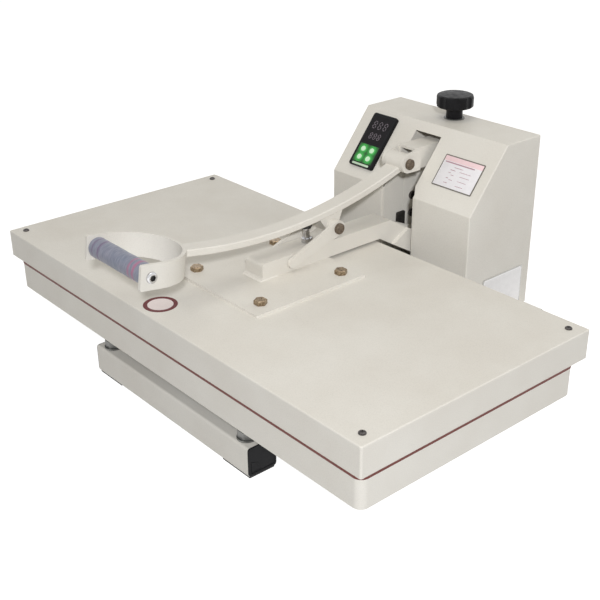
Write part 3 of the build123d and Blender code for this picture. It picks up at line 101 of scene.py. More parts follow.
class PressPaintSettings(bpy.types.PropertyGroup):
    """Colours of the painted, plated and moulded parts."""

    cream: FloatVectorProperty(
        name="Cream paint",
        description="Ivory powder coat of the sheet metal",
        default=ink(230, 227, 220),
        **COLOR,
    )
    cream_shade: FloatVectorProperty(
        name="Cream shade",
        description="Slightly greyer tone that clouds the powder coat",
        default=ink(224, 220, 212),
        **COLOR,
    )
    cream_gloss: FloatProperty(
        name="Cream roughness",
        description="Roughness of the powder coat",
        default=0.44,
        subtype="FACTOR",
        min=0,
        max=1,
    )
    steel: FloatVectorProperty(
        name="Zinc-plated steel",
        description="Plain plated steel under the table and in the column",
        default=ink(138, 138, 136),
        **COLOR,
    )
    bronze: FloatVectorProperty(
        name="Yellow passivated bolts",
        description="Dulled yellow plate on the bolts of the platen and linkage",
        default=ink(162, 142, 118),
        **COLOR,
    )
    black_plastic: FloatVectorProperty(
        name="Black plastic",
        description="Moulded knob, bezel, plugs, gland and switch housing",
        default=ink(15, 15, 17),
        **COLOR,
    )
    keypad_green: FloatVectorProperty(
        name="Keypad green",
        description="Printed membrane of the controller",
        default=ink(70, 190, 88),
        **COLOR,
    )
    key_green: FloatVectorProperty(
        name="Key green",
        description="Pale keys of the controller",
        default=ink(204, 246, 204),
        **COLOR,
    )


class PressGripSettings(bpy.types.PropertyGroup):
    """Sizes and colours of the foam grip on the handle."""

    bore: FloatProperty(
        name="Bore",
        description="Radius of the hole round the rod",
        default=0.0063,
        **LENGTH,
    )
    fullness: FloatProperty(
        name="Fullness",
        description="How far the soft foam swells over its nominal radius",
        default=0.0017,
        **LENGTH,
    )
    end_round: FloatProperty(
        name="End round",
        description="Rounding of the foam's two ends",
        default=0.0022,
        **LENGTH,
    )
    ripple: FloatProperty(
        name="Ripple",
        description="Depth of the wear that the hand leaves in the foam",
        default=0.0004,
        **LENGTH,
    )
    foam: FloatVectorProperty(
        name="Foam",
        description="Grey-blue of the foam",
        default=ink(146, 150, 166),
        **COLOR,
    )
    foam_dark: FloatVectorProperty(
        name="Dark flecks",
        description="Darker flecks pressed into the foam",
        default=ink(112, 116, 136),
        **COLOR,
    )
    plum_band: FloatVectorProperty(
        name="Plum bands",
        description="Two thin bands near the left end",
        default=ink(112, 90, 122),
        **COLOR,
    )
    pink_band: FloatVectorProperty(
        name="Pink bands",
        description="Two thin bands near the right end",
        default=ink(178, 104, 138),
        **COLOR,
    )


class PressPadSettings(bpy.types.PropertyGroup):
    """Silicone sheet on the table and fibre blanket in the cover."""

    corner: FloatProperty(
        name="Sheet corner",
        description="Rounding of the silicone sheet's corners",
        default=0.008,
        **LENGTH,
    )
    edge: FloatProperty(
        name="Sheet edge",
        description="Rounding of the silicone sheet's rim",
        default=0.0009,
        **LENGTH,
    )
    lip_fold: FloatProperty(
        name="Lip fold",
        description="How far the sheet's lip folds down over the table's edge",
        default=0.0013,
        **LENGTH,
    )
    silicone: FloatVectorProperty(
        name="Silicone",
        description="Red-brown of the silicone sheet",
        default=ink(150, 56, 44),
        **COLOR,
    )
    silicone_worn: FloatVectorProperty(
        name="Worn silicone",
        description="Paler tone that the heat leaves on the sheet",
        default=ink(176, 92, 74),
        **COLOR,
    )
    silicone_lip: FloatVectorProperty(
        name="Silicone lip",
        description="Red of the thin lip that shows between table and cover",
        default=ink(106, 44, 36),
        **COLOR,
    )
    blanket: FloatVectorProperty(
        name="Fibre blanket",
        description="Off-white of the felted ceramic fibre",
        default=ink(220, 214, 198),
        **COLOR,
    )


class PressPrintSettings(bpy.types.PropertyGroup):
    """Round badge, display digits and the instruction card."""

    badge_radius: FloatProperty(
        name="Badge radius",
        description="Radius of the round badge on the cover",
        default=0.0245,
        **LENGTH,
    )
    badge_band: FloatProperty(
        name="Badge band",
        description="Width of the badge's coloured ring",
        default=0.0056,
        **LENGTH,
    )
    badge_place: FloatVectorProperty(
        name="Badge place",
        description="Where the badge lies: across the cover from its middle, and in from its front edge",
        default=(-0.023, 0.033),
        subtype="XYZ",
        unit="LENGTH",
        size=2,
    )
    badge_ring: FloatVectorProperty(
        name="Badge ring",
        description="Dark red of the badge's ring",
        default=ink(96, 8, 16),
        **COLOR,
    )
    badge_middle: FloatVectorProperty(
        name="Badge middle",
        description="Pale middle of the badge",
        default=ink(238, 226, 224),
        **COLOR,
    )
    digit_ink: FloatVectorProperty(
        name="Unlit digits",
        description="Dim grey of the display's unlit segments",
        default=ink(118, 110, 118),
        **COLOR,
    )
    digit_count: IntProperty(
        name="Digits in a row",
        description="How many digits each row of the display has",
        default=3,
        min=1,
        max=6,
    )
    card_frame: FloatProperty(
        name="Card frame",
        description="How much of the plate shows round the card",
        default=0.0018,
        **LENGTH,
    )
    card_paper: FloatVectorProperty(
        name="Card",
        description="White of the instruction card",
        default=ink(240, 238, 242),
        **COLOR,
    )
    card_blush: FloatVectorProperty(
        name="Card band",
        description="Pink of the band at the card's top",
        default=ink(248, 218, 222),
        **COLOR,
    )
    card_ink: FloatVectorProperty(
        name="Card marks",
        description="Faded rose of the bars printed on the card",
        default=ink(176, 132, 146),
        **COLOR,
    )


class PressStageSettings(bpy.types.PropertyGroup):
    """Camera, lamps and sky."""

    camera_place: FloatVectorProperty(
        name="Camera",
        description="Where the camera stands",
        default=(1.0970, -0.9602, 0.8186),
        **PLACE,
    )
    camera_aim: FloatVectorProperty(
        name="Aim",
        description="Point that the camera looks at",
        default=(0.3188, -0.2991, 0.3179),
        **PLACE,
    )
    camera_roll: FloatProperty(
        name="Roll",
        description="Turn of the camera about its line of sight",
        default=math.radians(-0.56),
        subtype="ANGLE",
        unit="ROTATION",
    )
    camera_lens: FloatProperty(
        name="Lens",
        description="Focal length on a sensor 36 mm wide, in millimetres",
        default=62.068,
    )
    softbox_place: FloatVectorProperty(
        name="Softbox",
        description="Where the large softbox hangs, over the press",
        default=(0.10, -0.20, 2.00),
        **PLACE,
    )
    softbox_size: FloatProperty(
        name="Softbox size",
        description="Side of the square softbox",
        default=1.3,
        **LENGTH,
    )
    softbox_power: FloatProperty(
        name="Softbox power",
        description="Power of the softbox",
        default=8,
        **POWER,
    )
    flash_place: FloatVectorProperty(
        name="Flash",
        description="Where the key flash stands, behind and a little over the camera",
        default=(2.032, -1.607, 1.545),
        **PLACE,
    )
    flash_power: FloatProperty(
        name="Flash power",
        description="Power of the key flash",
        default=55,
        **POWER,
    )
    rear_place: FloatVectorProperty(
        name="Rear fill",
        description="Where the soft fill stands, behind the column",
        default=(0.9, 2.6, 1.3),
        **PLACE,
    )
    rear_power: FloatProperty(
        name="Rear fill power",
        description="Power of the soft fill behind the column",
        default=14,
        **POWER,
    )
    sky_strength: FloatProperty(
        name="Sky",
        description="Strength of the even light from all round",
        default=0.25,
    )


# ---------------------------------------------------------------- modelling helpers


def leave_edit(*picked):
    """Back to object mode with only the picked pieces selected, the last of them active."""
    if bpy.context.object and bpy.context.object.mode != "OBJECT":
        bpy.ops.object.mode_set(mode="OBJECT")
    bpy.ops.object.select_all(action="DESELECT")
    for piece in picked:
        piece.select_set(True)
        bpy.context.view_layer.objects.active = piece


def start(name):
    """Name the primitive that was just added and open it in edit mode, all selected."""
    piece = bpy.context.object
    piece.name = name
    piece.data.name = name
    bpy.ops.object.mode_set(mode="EDIT")
    bpy.ops.mesh.select_mode(type="FACE")
    bpy.ops.mesh.select_all(action="SELECT")
    return piece


def block(name, size, middle=(0, 0, 0)):
    """Box of the given size, its place put in its mesh, open in edit mode."""
    leave_edit()
    bpy.ops.mesh.primitive_cube_add(size=1, location=middle, scale=size)
    bpy.ops.object.transform_apply()
    return start(name)


def disc(name, radius, height, middle, sides):
    """Upright cylinder, its place put in its mesh, open in edit mode."""
    leave_edit()
    bpy.ops.mesh.primitive_cylinder_add(vertices=sides, radius=radius, depth=height, location=middle)
    bpy.ops.object.transform_apply()
    return start(name)


def bead(name, *stretch):
    """Round bead about 1 m across, to be copied along a weld at its true size."""
    leave_edit()
    bpy.ops.mesh.primitive_uv_sphere_add(segments=12, ring_count=8, radius=0.5)
    made = start(name)
    bpy.ops.transform.resize(value=stretch)
    return made


def pick_faces(piece, test):
    """Select the faces whose middle and normal pass the test."""
    bpy.ops.mesh.select_mode(type="FACE")
    bpy.ops.mesh.select_all(action="DESELECT")
    shape = bmesh.from_edit_mesh(piece.data)
    for face in shape.faces:
        face.select_set(test(face.calc_center_median(), face.normal))
    bmesh.update_edit_mesh(piece.data)


def pick_edges(piece, test):
    """Select the edges whose middle and direction pass the test."""
    bpy.ops.mesh.select_mode(type="EDGE")
    bpy.ops.mesh.select_all(action="DESELECT")
    shape = bmesh.from_edit_mesh(piece.data)
    for edge in shape.edges:
        first, last = (corner.co for corner in edge.verts)
        edge.select_set(test((first + last) / 2, (last - first).normalized()))
    bmesh.update_edit_mesh(piece.data)


def round_corners(piece, radius, segments):
    """Bevel the upright edges of a piece."""
    pick_edges(piece, lambda place, line: abs(line.z) > 0.99)
    bpy.ops.mesh.bevel(offset=radius, segments=segments)


def slice_through(place, normal, **cut):
    """Cut everything along a plane."""
    bpy.ops.mesh.select_all(action="SELECT")
    bpy.ops.mesh.bisect(plane_co=place, plane_no=normal, **cut)


def settle(piece):
    """Leave edit mode, put the piece's place in its mesh and smooth it."""
    leave_edit(piece)
    bpy.ops.object.transform_apply()
    bpy.ops.object.shade_smooth_by_angle(angle=math.radians(35))


def out(piece):
    """Turn every face of a closed piece outwards."""
    leave_edit(piece)
    bpy.ops.object.mode_set(mode="EDIT")
    bpy.ops.mesh.select_all(action="SELECT")
    bpy.ops.mesh.remove_doubles(threshold=0.000002)
    bpy.ops.mesh.normals_make_consistent(inside=False)
    bpy.ops.object.mode_set(mode="OBJECT")


def apply_modifiers(piece):
    """Apply every modifier of the piece in order."""
    leave_edit(piece)
    for modifier in list(piece.modifiers):
        bpy.ops.object.modifier_apply(modifier=modifier.name)


def join(*pieces):
    """Join the pieces to the last one."""
    leave_edit(*pieces)
    bpy.ops.object.join()
    return bpy.context.object


def carve(piece, tool, operation="DIFFERENCE"):
    """Cut the tool out of the piece, or melt it on with UNION, and delete the tool."""
    change = piece.modifiers.new("carve", "BOOLEAN")
    change.operation = operation
    change.solver = "EXACT"
    change.object = tool
    apply_modifiers(piece)
    leave_edit(tool)
    bpy.ops.object.delete()


def copies(piece, places):
    """Copies of the piece, each with its own mesh, at the places given as matrices, joined to one piece."""
    name = piece.name
    made = []
    for place in places:
        leave_edit(piece)
        bpy.ops.object.duplicate(linked=False)
        copy = bpy.context.object
        copy.matrix_world = place
        bpy.ops.object.transform_apply()
        made.append(copy)
    leave_edit(piece)
    bpy.ops.object.delete()
    joined = join(*reversed(made)) if len(made) > 1 else made[0]
    joined.name = name
    joined.data.name = name
    return joined


def at(place, *turns, size=(1, 1, 1)):
    """Matrix of a place, with turns in radians about axes, the last one nearest to the piece, and a size."""
    result = Matrix.Translation(place)
    for angle, axis in turns:
        result = result @ Matrix.Rotation(angle, 4, axis)
    return result @ Matrix.Diagonal((*size, 1))


def on_slope(x, along, lift):
    """Matrix of a place on the column's slope: x across, along it from its lower bend, lifted off it."""
    turn = Matrix.Rotation(SLOPE_ANGLE, 4, "X")
    foot = Vector((x, COLUMN_FRONT, SLOPE_FOOT_Z))
    return Matrix.Translation(foot + turn.to_3x3() @ Vector((0, along, lift))) @ turn


def in_corners(low, high, in_x, in_y):
    """The four places that lie in from a box's corners."""
    return [(x, y) for x in (low.x + in_x, high.x - in_x) for y in (low.y + in_y, high.y - in_y)]


def dress(piece, material, body):
    """Give the piece its finish and the body that it moves with."""
    piece.data.materials.clear()
    piece.data.materials.append(material)
    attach(piece, body)


# ---------------------------------------------------------------- finish helpers


def grey(value):
    """Grey as a colour."""
    return (value, value, value)


def shade(color, share):
    """The colour made darker or paler."""
    return tuple(min(1.0, share * part) for part in color)


def add_node(tree, kind, values=None, links=None, **options):
    """New node with its options, the values that its inputs hold and the sockets that feed them."""
    node = tree.nodes.new(kind)
    for option, value in options.items():
        setattr(node, option, value)
    for name, value in (values or {}).items():
        node.inputs[name].default_value = value
    for name, source in (links or {}).items():
        tree.links.new(source, node.inputs[name])
    return node


def larger(tree, first, second):
    """The larger of two values."""
    node = add_node(tree, "ShaderNodeMath", links={0: first, 1: second}, operation="MAXIMUM")
    return node.outputs["Value"]


class Finish:
    """A new material with one Principled shader, and the steps that build its nodes."""

    def __init__(self, name, color, roughness, metallic=0.0):
        self.material = bpy.data.materials.new(name)
        self.material.use_nodes = True
        self.material.diffuse_color = (*color, 1)
        self.tree = self.material.node_tree
        self.shader = self.tree.nodes["Principled BSDF"]
        self.set("Base Color", (*color, 1))
        self.set("Roughness", roughness)
        self.set("Metallic", metallic)

    def set(self, name, value):
        """Level that is the same all over."""
        self.shader.inputs[name].default_value = value

    def pattern(self, stretch=(1, 1, 1), centre=(0, 0, 0)):
        """Object coordinates counted from a centre and stretched."""
        source = self.tree.nodes.new("ShaderNodeTexCoord").outputs["Object"]
        values = {"Location": centre, "Scale": tuple(1 / s for s in stretch)}
        mapping = add_node(self.tree, "ShaderNodeMapping", values, {"Vector": source}, vector_type="TEXTURE")
        return mapping.outputs["Vector"]

    def noise(self, scale, detail=2.0, rough=0.5, stretch=(1, 1, 1)):
        """Cloudy pattern, scale lumps to the metre."""
        values = {"Scale": scale, "Detail": detail, "Roughness": rough}
        links = {"Vector": self.pattern(stretch)}
        return add_node(self.tree, "ShaderNodeTexNoise", values, links).outputs["Fac"]

    def cells(self, scale):
        """Distance to the nearest of many scattered points, for pores and pebbles."""
        links = {"Vector": self.pattern()}
        return add_node(self.tree, "ShaderNodeTexVoronoi", {"Scale": scale}, links).outputs["Distance"]

    def ramp(self, factor, *stops):
        """Colour ramp through the stops, each a position and a colour."""
        node = add_node(self.tree, "ShaderNodeValToRGB", links={"Fac": factor})
        points = node.color_ramp.elements
        while len(points) < len(stops):
            points.new(0.5)
        for point, (position, color) in zip(points, stops):
            point.position = position
            point.color = (*color, 1)
        return node.outputs["Color"]

    def mix(self, factor, first, second, mode="MIX"):
        """Mix of two colours; each is a socket or a plain colour, and the factor a socket or a number."""
        node = add_node(self.tree, "ShaderNodeMix", data_type="RGBA", blend_type=mode)
        for name, kind, value in (("Factor", "VALUE", factor), ("A", "RGBA", first), ("B", "RGBA", second)):
            socket = next(s for s in node.inputs if s.name == name and s.type == kind)
            if isinstance(value, bpy.types.NodeSocket):
                self.tree.links.new(value, socket)
            else:
                socket.default_value = value if kind == "VALUE" else (*value, 1)
        return next(s for s in node.outputs if s.type == "RGBA")

    def color(self, source, speckle=None):
        """Base colour from a socket, darkened by a speckle where there is one."""
        if speckle:
            source = self.mix(1.0, source, speckle, "MULTIPLY")
        self.tree.links.new(source, self.shader.inputs["Base Color"])

    def tone(self, factor, *stops):
        """Base colour from a ramp over a pattern."""
        self.color(self.ramp(factor, *stops))

    def gloss(self, factor, low, high):
        """Roughness that drifts between two values with a pattern."""
        values = {"From Min": 0.3, "From Max": 0.7, "To Min": low, "To Max": high}
        spread = add_node(self.tree, "ShaderNodeMapRange", values, {"Value": factor})
        self.tree.links.new(spread.outputs["Result"], self.shader.inputs["Roughness"])

    def bump(self, height, distance, strength):
        """Bump of the given depth in metres, on top of any bump that the shader has."""
        normal = self.shader.inputs["Normal"]
        links = {"Height": height}
        if normal.is_linked:
            links["Normal"] = normal.links[0].from_socket
        node = add_node(self.tree, "ShaderNodeBump", {"Strength": strength, "Distance": distance}, links)
        self.tree.links.new(node.outputs["Normal"], normal)


# ---------------------------------------------------------------- finishes


def cream_powder_coat(paint):
    """Ivory powder coat: clouded tone, orange peel and a thin glossy skin."""
    finish = Finish("cream_powder_coat", paint.cream, paint.cream_gloss)
    toned = finish.ramp(finish.noise(7, 3, 0.6), (0.35, paint.cream_shade), (0.65, paint.cream))
    finish.color(toned, finish.ramp(finish.noise(900), (0.30, grey(0.93)), (0.55, grey(1.0))))
    finish.gloss(finish.noise(40), paint.cream_gloss - 0.04, paint.cream_gloss + 0.06)
    finish.bump(finish.noise(420, 1.5), 0.00012, 0.55)
    finish.set("Specular IOR Level", 0.32)
    finish.set("Coat Weight", 0.05)
    finish.set("Coat Roughness", 0.20)
    return finish.material


def black_paint():
    """Black paint on small steel parts, rubbed at the crests."""
    finish = Finish("black_paint", ink(22, 22, 24), 0.4)
    rubbed = finish.noise(500, 3, 0.6)
    finish.tone(rubbed, (0.4, ink(16, 16, 18)), (0.75, ink(40, 39, 38)))
    finish.gloss(rubbed, 0.3, 0.5)
    finish.bump(finish.noise(1500), 0.00005, 0.5)
    return finish.material


def zinc_plate(paint):
    """Plain zinc plate with drawn streaks and a cloudy bloom."""
    finish = Finish("zinc_plate", paint.steel, 0.45, 0.85)
    drawn = finish.noise(300, 2, 0.5, (0.1, 1, 1))
    finish.tone(finish.noise(60, 4, 0.65), (0.3, shade(paint.steel, 0.72)), (0.7, paint.steel))
    finish.gloss(drawn, 0.38, 0.55)
    finish.bump(drawn, 0.00003, 0.4)
    return finish.material


def chrome_plate():
    """Bright chrome with faint wiping marks."""
    finish = Finish("chrome_plate", ink(214, 214, 216), 0.12, 1.0)
    wiped = finish.noise(240, 3, 0.6, (1, 0.3, 1))
    finish.tone(wiped, (0.3, ink(190, 190, 192)), (0.7, ink(226, 226, 228)))
    finish.gloss(wiped, 0.07, 0.2)
    finish.bump(finish.noise(700), 0.00001, 0.5)
    return finish.material


def yellow_passivate(paint):
    """Yellow passivated bolt heads, brown where the plate has dulled."""
    finish = Finish("yellow_passivate", paint.bronze, 0.34, 1.0)
    dulled = finish.noise(350, 4, 0.65)
    finish.tone(dulled, (0.30, ink(104, 88, 72)), (0.52, paint.bronze), (0.75, ink(206, 190, 162)))
    finish.gloss(dulled, 0.24, 0.45)
    finish.bump(finish.noise(1200), 0.00003, 0.5)
    return finish.material


def dulled_bolt():
    """Grey-brown oiled heads of the linkage bolts."""
    finish = Finish("dulled_bolt", ink(120, 106, 92), 0.42, 0.8)
    oiled = finish.noise(420, 4, 0.65)
    finish.tone(oiled, (0.3, ink(78, 68, 60)), (0.7, ink(140, 126, 110)))
    finish.gloss(oiled, 0.34, 0.52)
    finish.bump(finish.noise(1200), 0.00003, 0.5)
    return finish.material


def dark_nickel():
    """Dark nickel plate, worn brighter on the crests."""
    finish = Finish("dark_nickel", ink(84, 80, 80), 0.36, 0.9)
    worn = finish.noise(600, 4, 0.65)
    finish.tone(worn, (0.35, ink(60, 57, 58)), (0.75, ink(120, 116, 114)))
    finish.gloss(worn, 0.28, 0.46)
    finish.bump(finish.noise(1400), 0.00002, 0.5)
    return finish.material


def milled_aluminium():
    """Milled platen face: long fine cutter lines and pale heat clouds."""
    finish = Finish("milled_aluminium", ink(196, 197, 196), 0.34, 1.0)
    lines = finish.noise(900, 2, 0.5, (0.02, 1, 1))
    cloud = finish.noise(9, 3, 0.6)
    toned = finish.ramp(cloud, (0.3, ink(176, 174, 168)), (0.7, ink(204, 205, 205)))
    finish.color(toned, finish.ramp(lines, (0.3, grey(0.86)), (0.7, grey(1.0))))
    finish.gloss(cloud, 0.28, 0.42)
    finish.bump(lines, 0.00002, 0.5)
    return finish.material


def moulded_black(paint):
    """Moulded black plastic with a fine spark-eroded grain."""
    finish = Finish("moulded_black", paint.black_plastic, 0.34)
    cloud = finish.noise(50, 3, 0.6)
    finish.tone(cloud, (0.35, paint.black_plastic), (0.75, shade(paint.black_plastic, 1.7)))
    finish.gloss(finish.noise(120), 0.30, 0.48)
    finish.bump(finish.cells(1800), 0.00004, 0.5)
    finish.set("Specular IOR Level", 0.16)
    return finish.material


def smoked_window():
    """Smoked window over the display, glossy with fine wiping lines."""
    finish = Finish("smoked_window", ink(20, 17, 20), 0.08)
    finish.tone(finish.noise(90, 3, 0.6), (0.3, ink(14, 12, 14)), (0.7, ink(26, 22, 26)))
    finish.gloss(finish.noise(500, 2, 0.5, (1, 0.1, 0.1)), 0.05, 0.16)
    finish.set("Specular IOR Level", 0.14)
    finish.set("Coat Weight", 0.03)
    finish.set("Coat Roughness", 0.05)
    return finish.material


def keypad_membrane(paint):
    """Green membrane, with painted light in soft pools round each key and painted shade between the rows."""
    finish = Finish("keypad_membrane", paint.keypad_green, 0.42)
    key_middles = [(x, along) for along in (-0.0325, -0.0175) for x in (-0.01, 0.01)]
    painted_light_pools = None
    for x, along in key_middles:
        centre = on_slope(BEZEL_SIDE + x, BEZEL_ALONG + along, BEZEL_LIFT).translation
        links = {"Vector": finish.pattern((80, 80, 80), centre)}
        ball = add_node(finish.tree, "ShaderNodeTexGradient", links=links, gradient_type="SPHERICAL")
        painted_light_pool = ball.outputs["Fac"]
        painted_light_pools = larger(finish.tree, painted_light_pools, painted_light_pool) if painted_light_pools else painted_light_pool
    # Painted light and shade: brighter green near each key's middle, darker green between the keys
    lit = finish.ramp(painted_light_pools, (0.0, ink(16, 70, 24)), (0.26, ink(34, 126, 44)), (0.55, paint.keypad_green))
    finish.color(lit, finish.ramp(finish.noise(400, 3), (0.3, grey(0.88)), (0.7, grey(1.0))))
    finish.bump(finish.cells(2600), 0.00003, 0.4)
    return finish.material


def key_rubber(paint):
    """Pale green rubber keys with a worn middle."""
    finish = Finish("key_rubber", paint.key_green, 0.46)
    finish.tone(finish.noise(380, 3, 0.6), (0.3, paint.key_green), (0.7, shade(paint.key_green, 1.25)))
    finish.bump(finish.noise(2500), 0.00003, 0.5)
    return finish.material


def rocker_red():
    """Red moulded rocker with a fingertip polish."""
    finish = Finish("rocker_red", ink(168, 26, 22), 0.3)
    polish = finish.noise(160, 3, 0.6)
    finish.tone(polish, (0.3, ink(148, 18, 16)), (0.7, ink(186, 34, 28)))
    finish.gloss(polish, 0.2, 0.42)
    finish.bump(finish.cells(2200), 0.00002, 0.4)
    return finish.material


def plate_metal():
    """Grey anodised sheet of the instruction plate, brushed along its length."""
    finish = Finish("plate_metal", ink(112, 107, 101), 0.4, 0.6)
    brushed = finish.noise(1400, 2, 0.5, (0.03, 1, 1))
    finish.tone(brushed, (0.3, ink(92, 88, 83)), (0.7, ink(128, 123, 116)))
    finish.bump(brushed, 0.00002, 0.5)
    return finish.material


def black_rubber():
    """Matt rubber with dust in its pores."""
    finish = Finish("black_rubber", ink(34, 33, 32), 0.85)
    finish.tone(finish.noise(220, 4, 0.7), (0.35, ink(26, 25, 25)), (0.8, ink(66, 63, 60)))
    finish.bump(finish.cells(1400), 0.00006, 0.6)
    return finish.material


def silicone_sheet_finish(pads):
    """Red-brown silicone with paler heat marks and a fine woven print."""
    finish = Finish("silicone_sheet", pads.silicone, 0.62)
    toned = finish.ramp(finish.noise(6, 3, 0.6), (0.45, pads.silicone), (0.75, pads.silicone_worn))
    finish.color(toned, finish.ramp(finish.noise(1100), (0.3, grey(0.82)), (0.7, grey(1.0))))
    weave = add_node(finish.tree, "ShaderNodeTexBrick", {"Scale": 900}, {"Vector": finish.pattern()})
    finish.bump(weave.outputs["Fac"], 0.00004, 0.3)
    finish.bump(finish.cells(700), 0.00008, 0.4)
    return finish.material


def silicone_edge_finish(pads):
    """Fresh red of the sheet's lip, which the heat doesn't reach."""
    finish = Finish("silicone_edge", pads.silicone_lip, 0.5)
    finish.tone(finish.noise(900, 3, 0.6), (0.3, shade(pads.silicone_lip, 0.7)), (0.6, pads.silicone_lip))
    finish.bump(finish.cells(900), 0.00006, 0.5)
    return finish.material


def fibre_blanket_finish(pads):
    """Felted ceramic fibre: crossed pale threads and scorched patches."""
    finish = Finish("fibre_blanket", pads.blanket, 0.95)
    threads = finish.noise(260, 4, 0.7, (0.25, 1, 1))
    scorch = finish.ramp(finish.noise(8, 3), (0.35, ink(186, 170, 140)), (0.6, pads.blanket))
    finish.color(scorch, finish.ramp(threads, (0.3, grey(0.78)), (0.7, grey(1.0))))
    finish.bump(threads, 0.0006, 0.7)
    finish.bump(finish.noise(240, 4, 0.7, (1, 0.25, 1)), 0.0006, 0.7)
    finish.set("Sheen Weight", 0.4)
    return finish.material


def foam_finish(grip):
    """Mottled grey-blue foam with two plum bands on the left and two pink ones on the right."""
    low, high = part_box("handle_grip")
    finish = Finish("mottled_foam", grip.foam, 0.78)
    tree = finish.tree
    source = tree.nodes.new("ShaderNodeTexCoord").outputs["Object"]
    across = add_node(tree, "ShaderNodeSeparateXYZ", links={"Vector": source}).outputs["X"]
    # The bands wander a little round the sleeve
    links = {0: finish.noise(160), 2: across}
    wander = add_node(tree, "ShaderNodeMath", {1: 0.003}, links, operation="MULTIPLY_ADD").outputs["Value"]
    ends = {"From Min": low[0] + 0.0015, "From Max": high[0] + 0.0015}
    share = add_node(tree, "ShaderNodeMapRange", ends, {"Value": wander}).outputs["Result"]
    none = grey(0.0)
    plum = finish.ramp(
        share, (0.06, none), (0.08, grey(0.8)), (0.10, none), (0.16, none), (0.19, grey(0.9)), (0.22, none)
    )
    pink = finish.ramp(
        share, (0.75, none), (0.775, grey(0.75)), (0.80, none), (0.83, none), (0.86, grey(0.95)), (0.89, none)
    )
    streaks = finish.noise(420, 4, 0.6, (1, 0.22, 0.22))
    mottled = finish.ramp(streaks, (0.32, grip.foam_dark), (0.62, grip.foam))
    patches = finish.ramp(finish.noise(45, 3), (0.3, ink(108, 122, 140)), (0.7, ink(150, 146, 162)))
    banded = finish.mix(plum, finish.mix(0.35, mottled, patches), grip.plum_band)
    finish.color(finish.mix(pink, banded, grip.pink_band))
    finish.bump(finish.cells(900), 0.0003, 0.45)
    finish.bump(streaks, 0.00025, 0.5)
    finish.set("Sheen Weight", 0.25)
    return finish.material


def printed_sheet(name, color, roughness=0.4):
    """Printed vinyl: a little uneven in tone, with a faint ripple."""
    finish = Finish(name, color, roughness)
    finish.tone(finish.noise(120, 3, 0.6), (0.3, shade(color, 0.94)), (0.7, color))
    finish.gloss(finish.noise(300), roughness - 0.08, roughness + 0.08)
    finish.bump(finish.noise(200), 0.00004, 0.5)
    finish.set("Specular IOR Level", 0.25)
    return finish.material


# ---------------------------------------------------------------- operators


class PRESS_OT_finishes(bpy.types.Operator):
    """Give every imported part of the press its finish"""

    bl_idname = "press.finishes"
    bl_label = "Paint and Plate the Press"

    def execute(self, context):
        paint = context.scene.press_paint
        pads = context.scene.press_pads
        finishes = {
            "painted_cream": cream_powder_coat(paint),
            "painted_black": black_paint(),
            "bare_steel": zinc_plate(paint),
            "chrome": chrome_plate(),
            "brass_bolts": yellow_passivate(paint),
            "platen_aluminium": milled_aluminium(),
            "black_plastic": moulded_black(paint),
            "window_glass": smoked_window(),
            "keypad_green": keypad_membrane(paint),
            "key_ivory": key_rubber(paint),
            "switch_red": rocker_red(),
            "plate_silver": plate_metal(),
            "black_rubber": black_rubber(),
            "silicone": silicone_sheet_finish(pads),
            "foam": foam_finish(context.scene.press_grip),
            "blanket": fibre_blanket_finish(pads),
        }
        silicone_edge_finish(pads)
        for subpart in frame["record"]["subparts"]:
            node = frame["nodes"][subpart["node"]]
            node.data.materials.clear()
            node.data.materials.append(finishes[subpart["material_slot"]])
        # Parts that look different from the rest of their slot
        dulled = dulled_bolt()
        for name, finish in (
            ("pivot_bolt", dulled),
            ("link_bolt", dulled),
            ("cheek_bolts", dark_nickel()),
            ("table_studs", finishes["bare_steel"]),
            ("rating_plate", finishes["platen_aluminium"]),
        ):
            frame["nodes"][name].data.materials[0] = finish
        return {"FINISHED"}


class PRESS_OT_foam_grip(bpy.types.Operator):
    """Model the foam sleeve on the handle's rod"""

    bl_idname = "press.foam_grip"
    bl_label = "Foam Grip"

    def execute(self, context):
        grip = context.scene.press_grip
        low, high = map(Vector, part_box("handle_grip"))
        middle = (low + high) / 2
        length = high.x - low.x
        radius = (high.z - low.z) / 2 + grip.fullness
        rings = 40
        leave_edit()
        bpy.ops.mesh.primitive_cylinder_add(
            vertices=64,
            radius=radius,
            depth=length,
            end_fill_type="NGON",
            location=middle,
            rotation=(0, math.pi / 2, 0),
        )
        sleeve = start("foam_grip")
        # Rings along the sleeve, so that its face can be worked
        for step in range(1, rings):
            slice_through((low.x + length * step / rings, middle.y, middle.z), (1, 0, 0))
        # Bore for the rod
        pick_faces(sleeve, lambda place, normal: abs(normal.z) > 0.99)
        bpy.ops.mesh.inset(thickness=radius - grip.bore)
        bpy.ops.mesh.bridge_edge_loops()
        pick_edges(
            sleeve,
            lambda place, line: abs(place.z) > length / 2 - 0.0001
            and Vector((place.x, place.y)).length > radius * 0.98
            and abs(line.z) < 0.1,
        )
        bpy.ops.mesh.bevel(offset=grip.end_round, segments=4, profile=0.5)
        settle(sleeve)
        out(sleeve)
        # Soft wear from the hand
        clouds = bpy.data.textures.new("grip_wear", "CLOUDS")
        clouds.noise_scale = 0.012
        wear = sleeve.modifiers.new("wear", "DISPLACE")
        wear.texture = clouds
        wear.texture_coords = "LOCAL"
        wear.strength = grip.ripple * 2
        wear.mid_level = 0.75
        apply_modifiers(sleeve)
        dress(sleeve, bpy.data.materials["mottled_foam"], "lever")
        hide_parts("handle_grip")
        return {"FINISHED"}


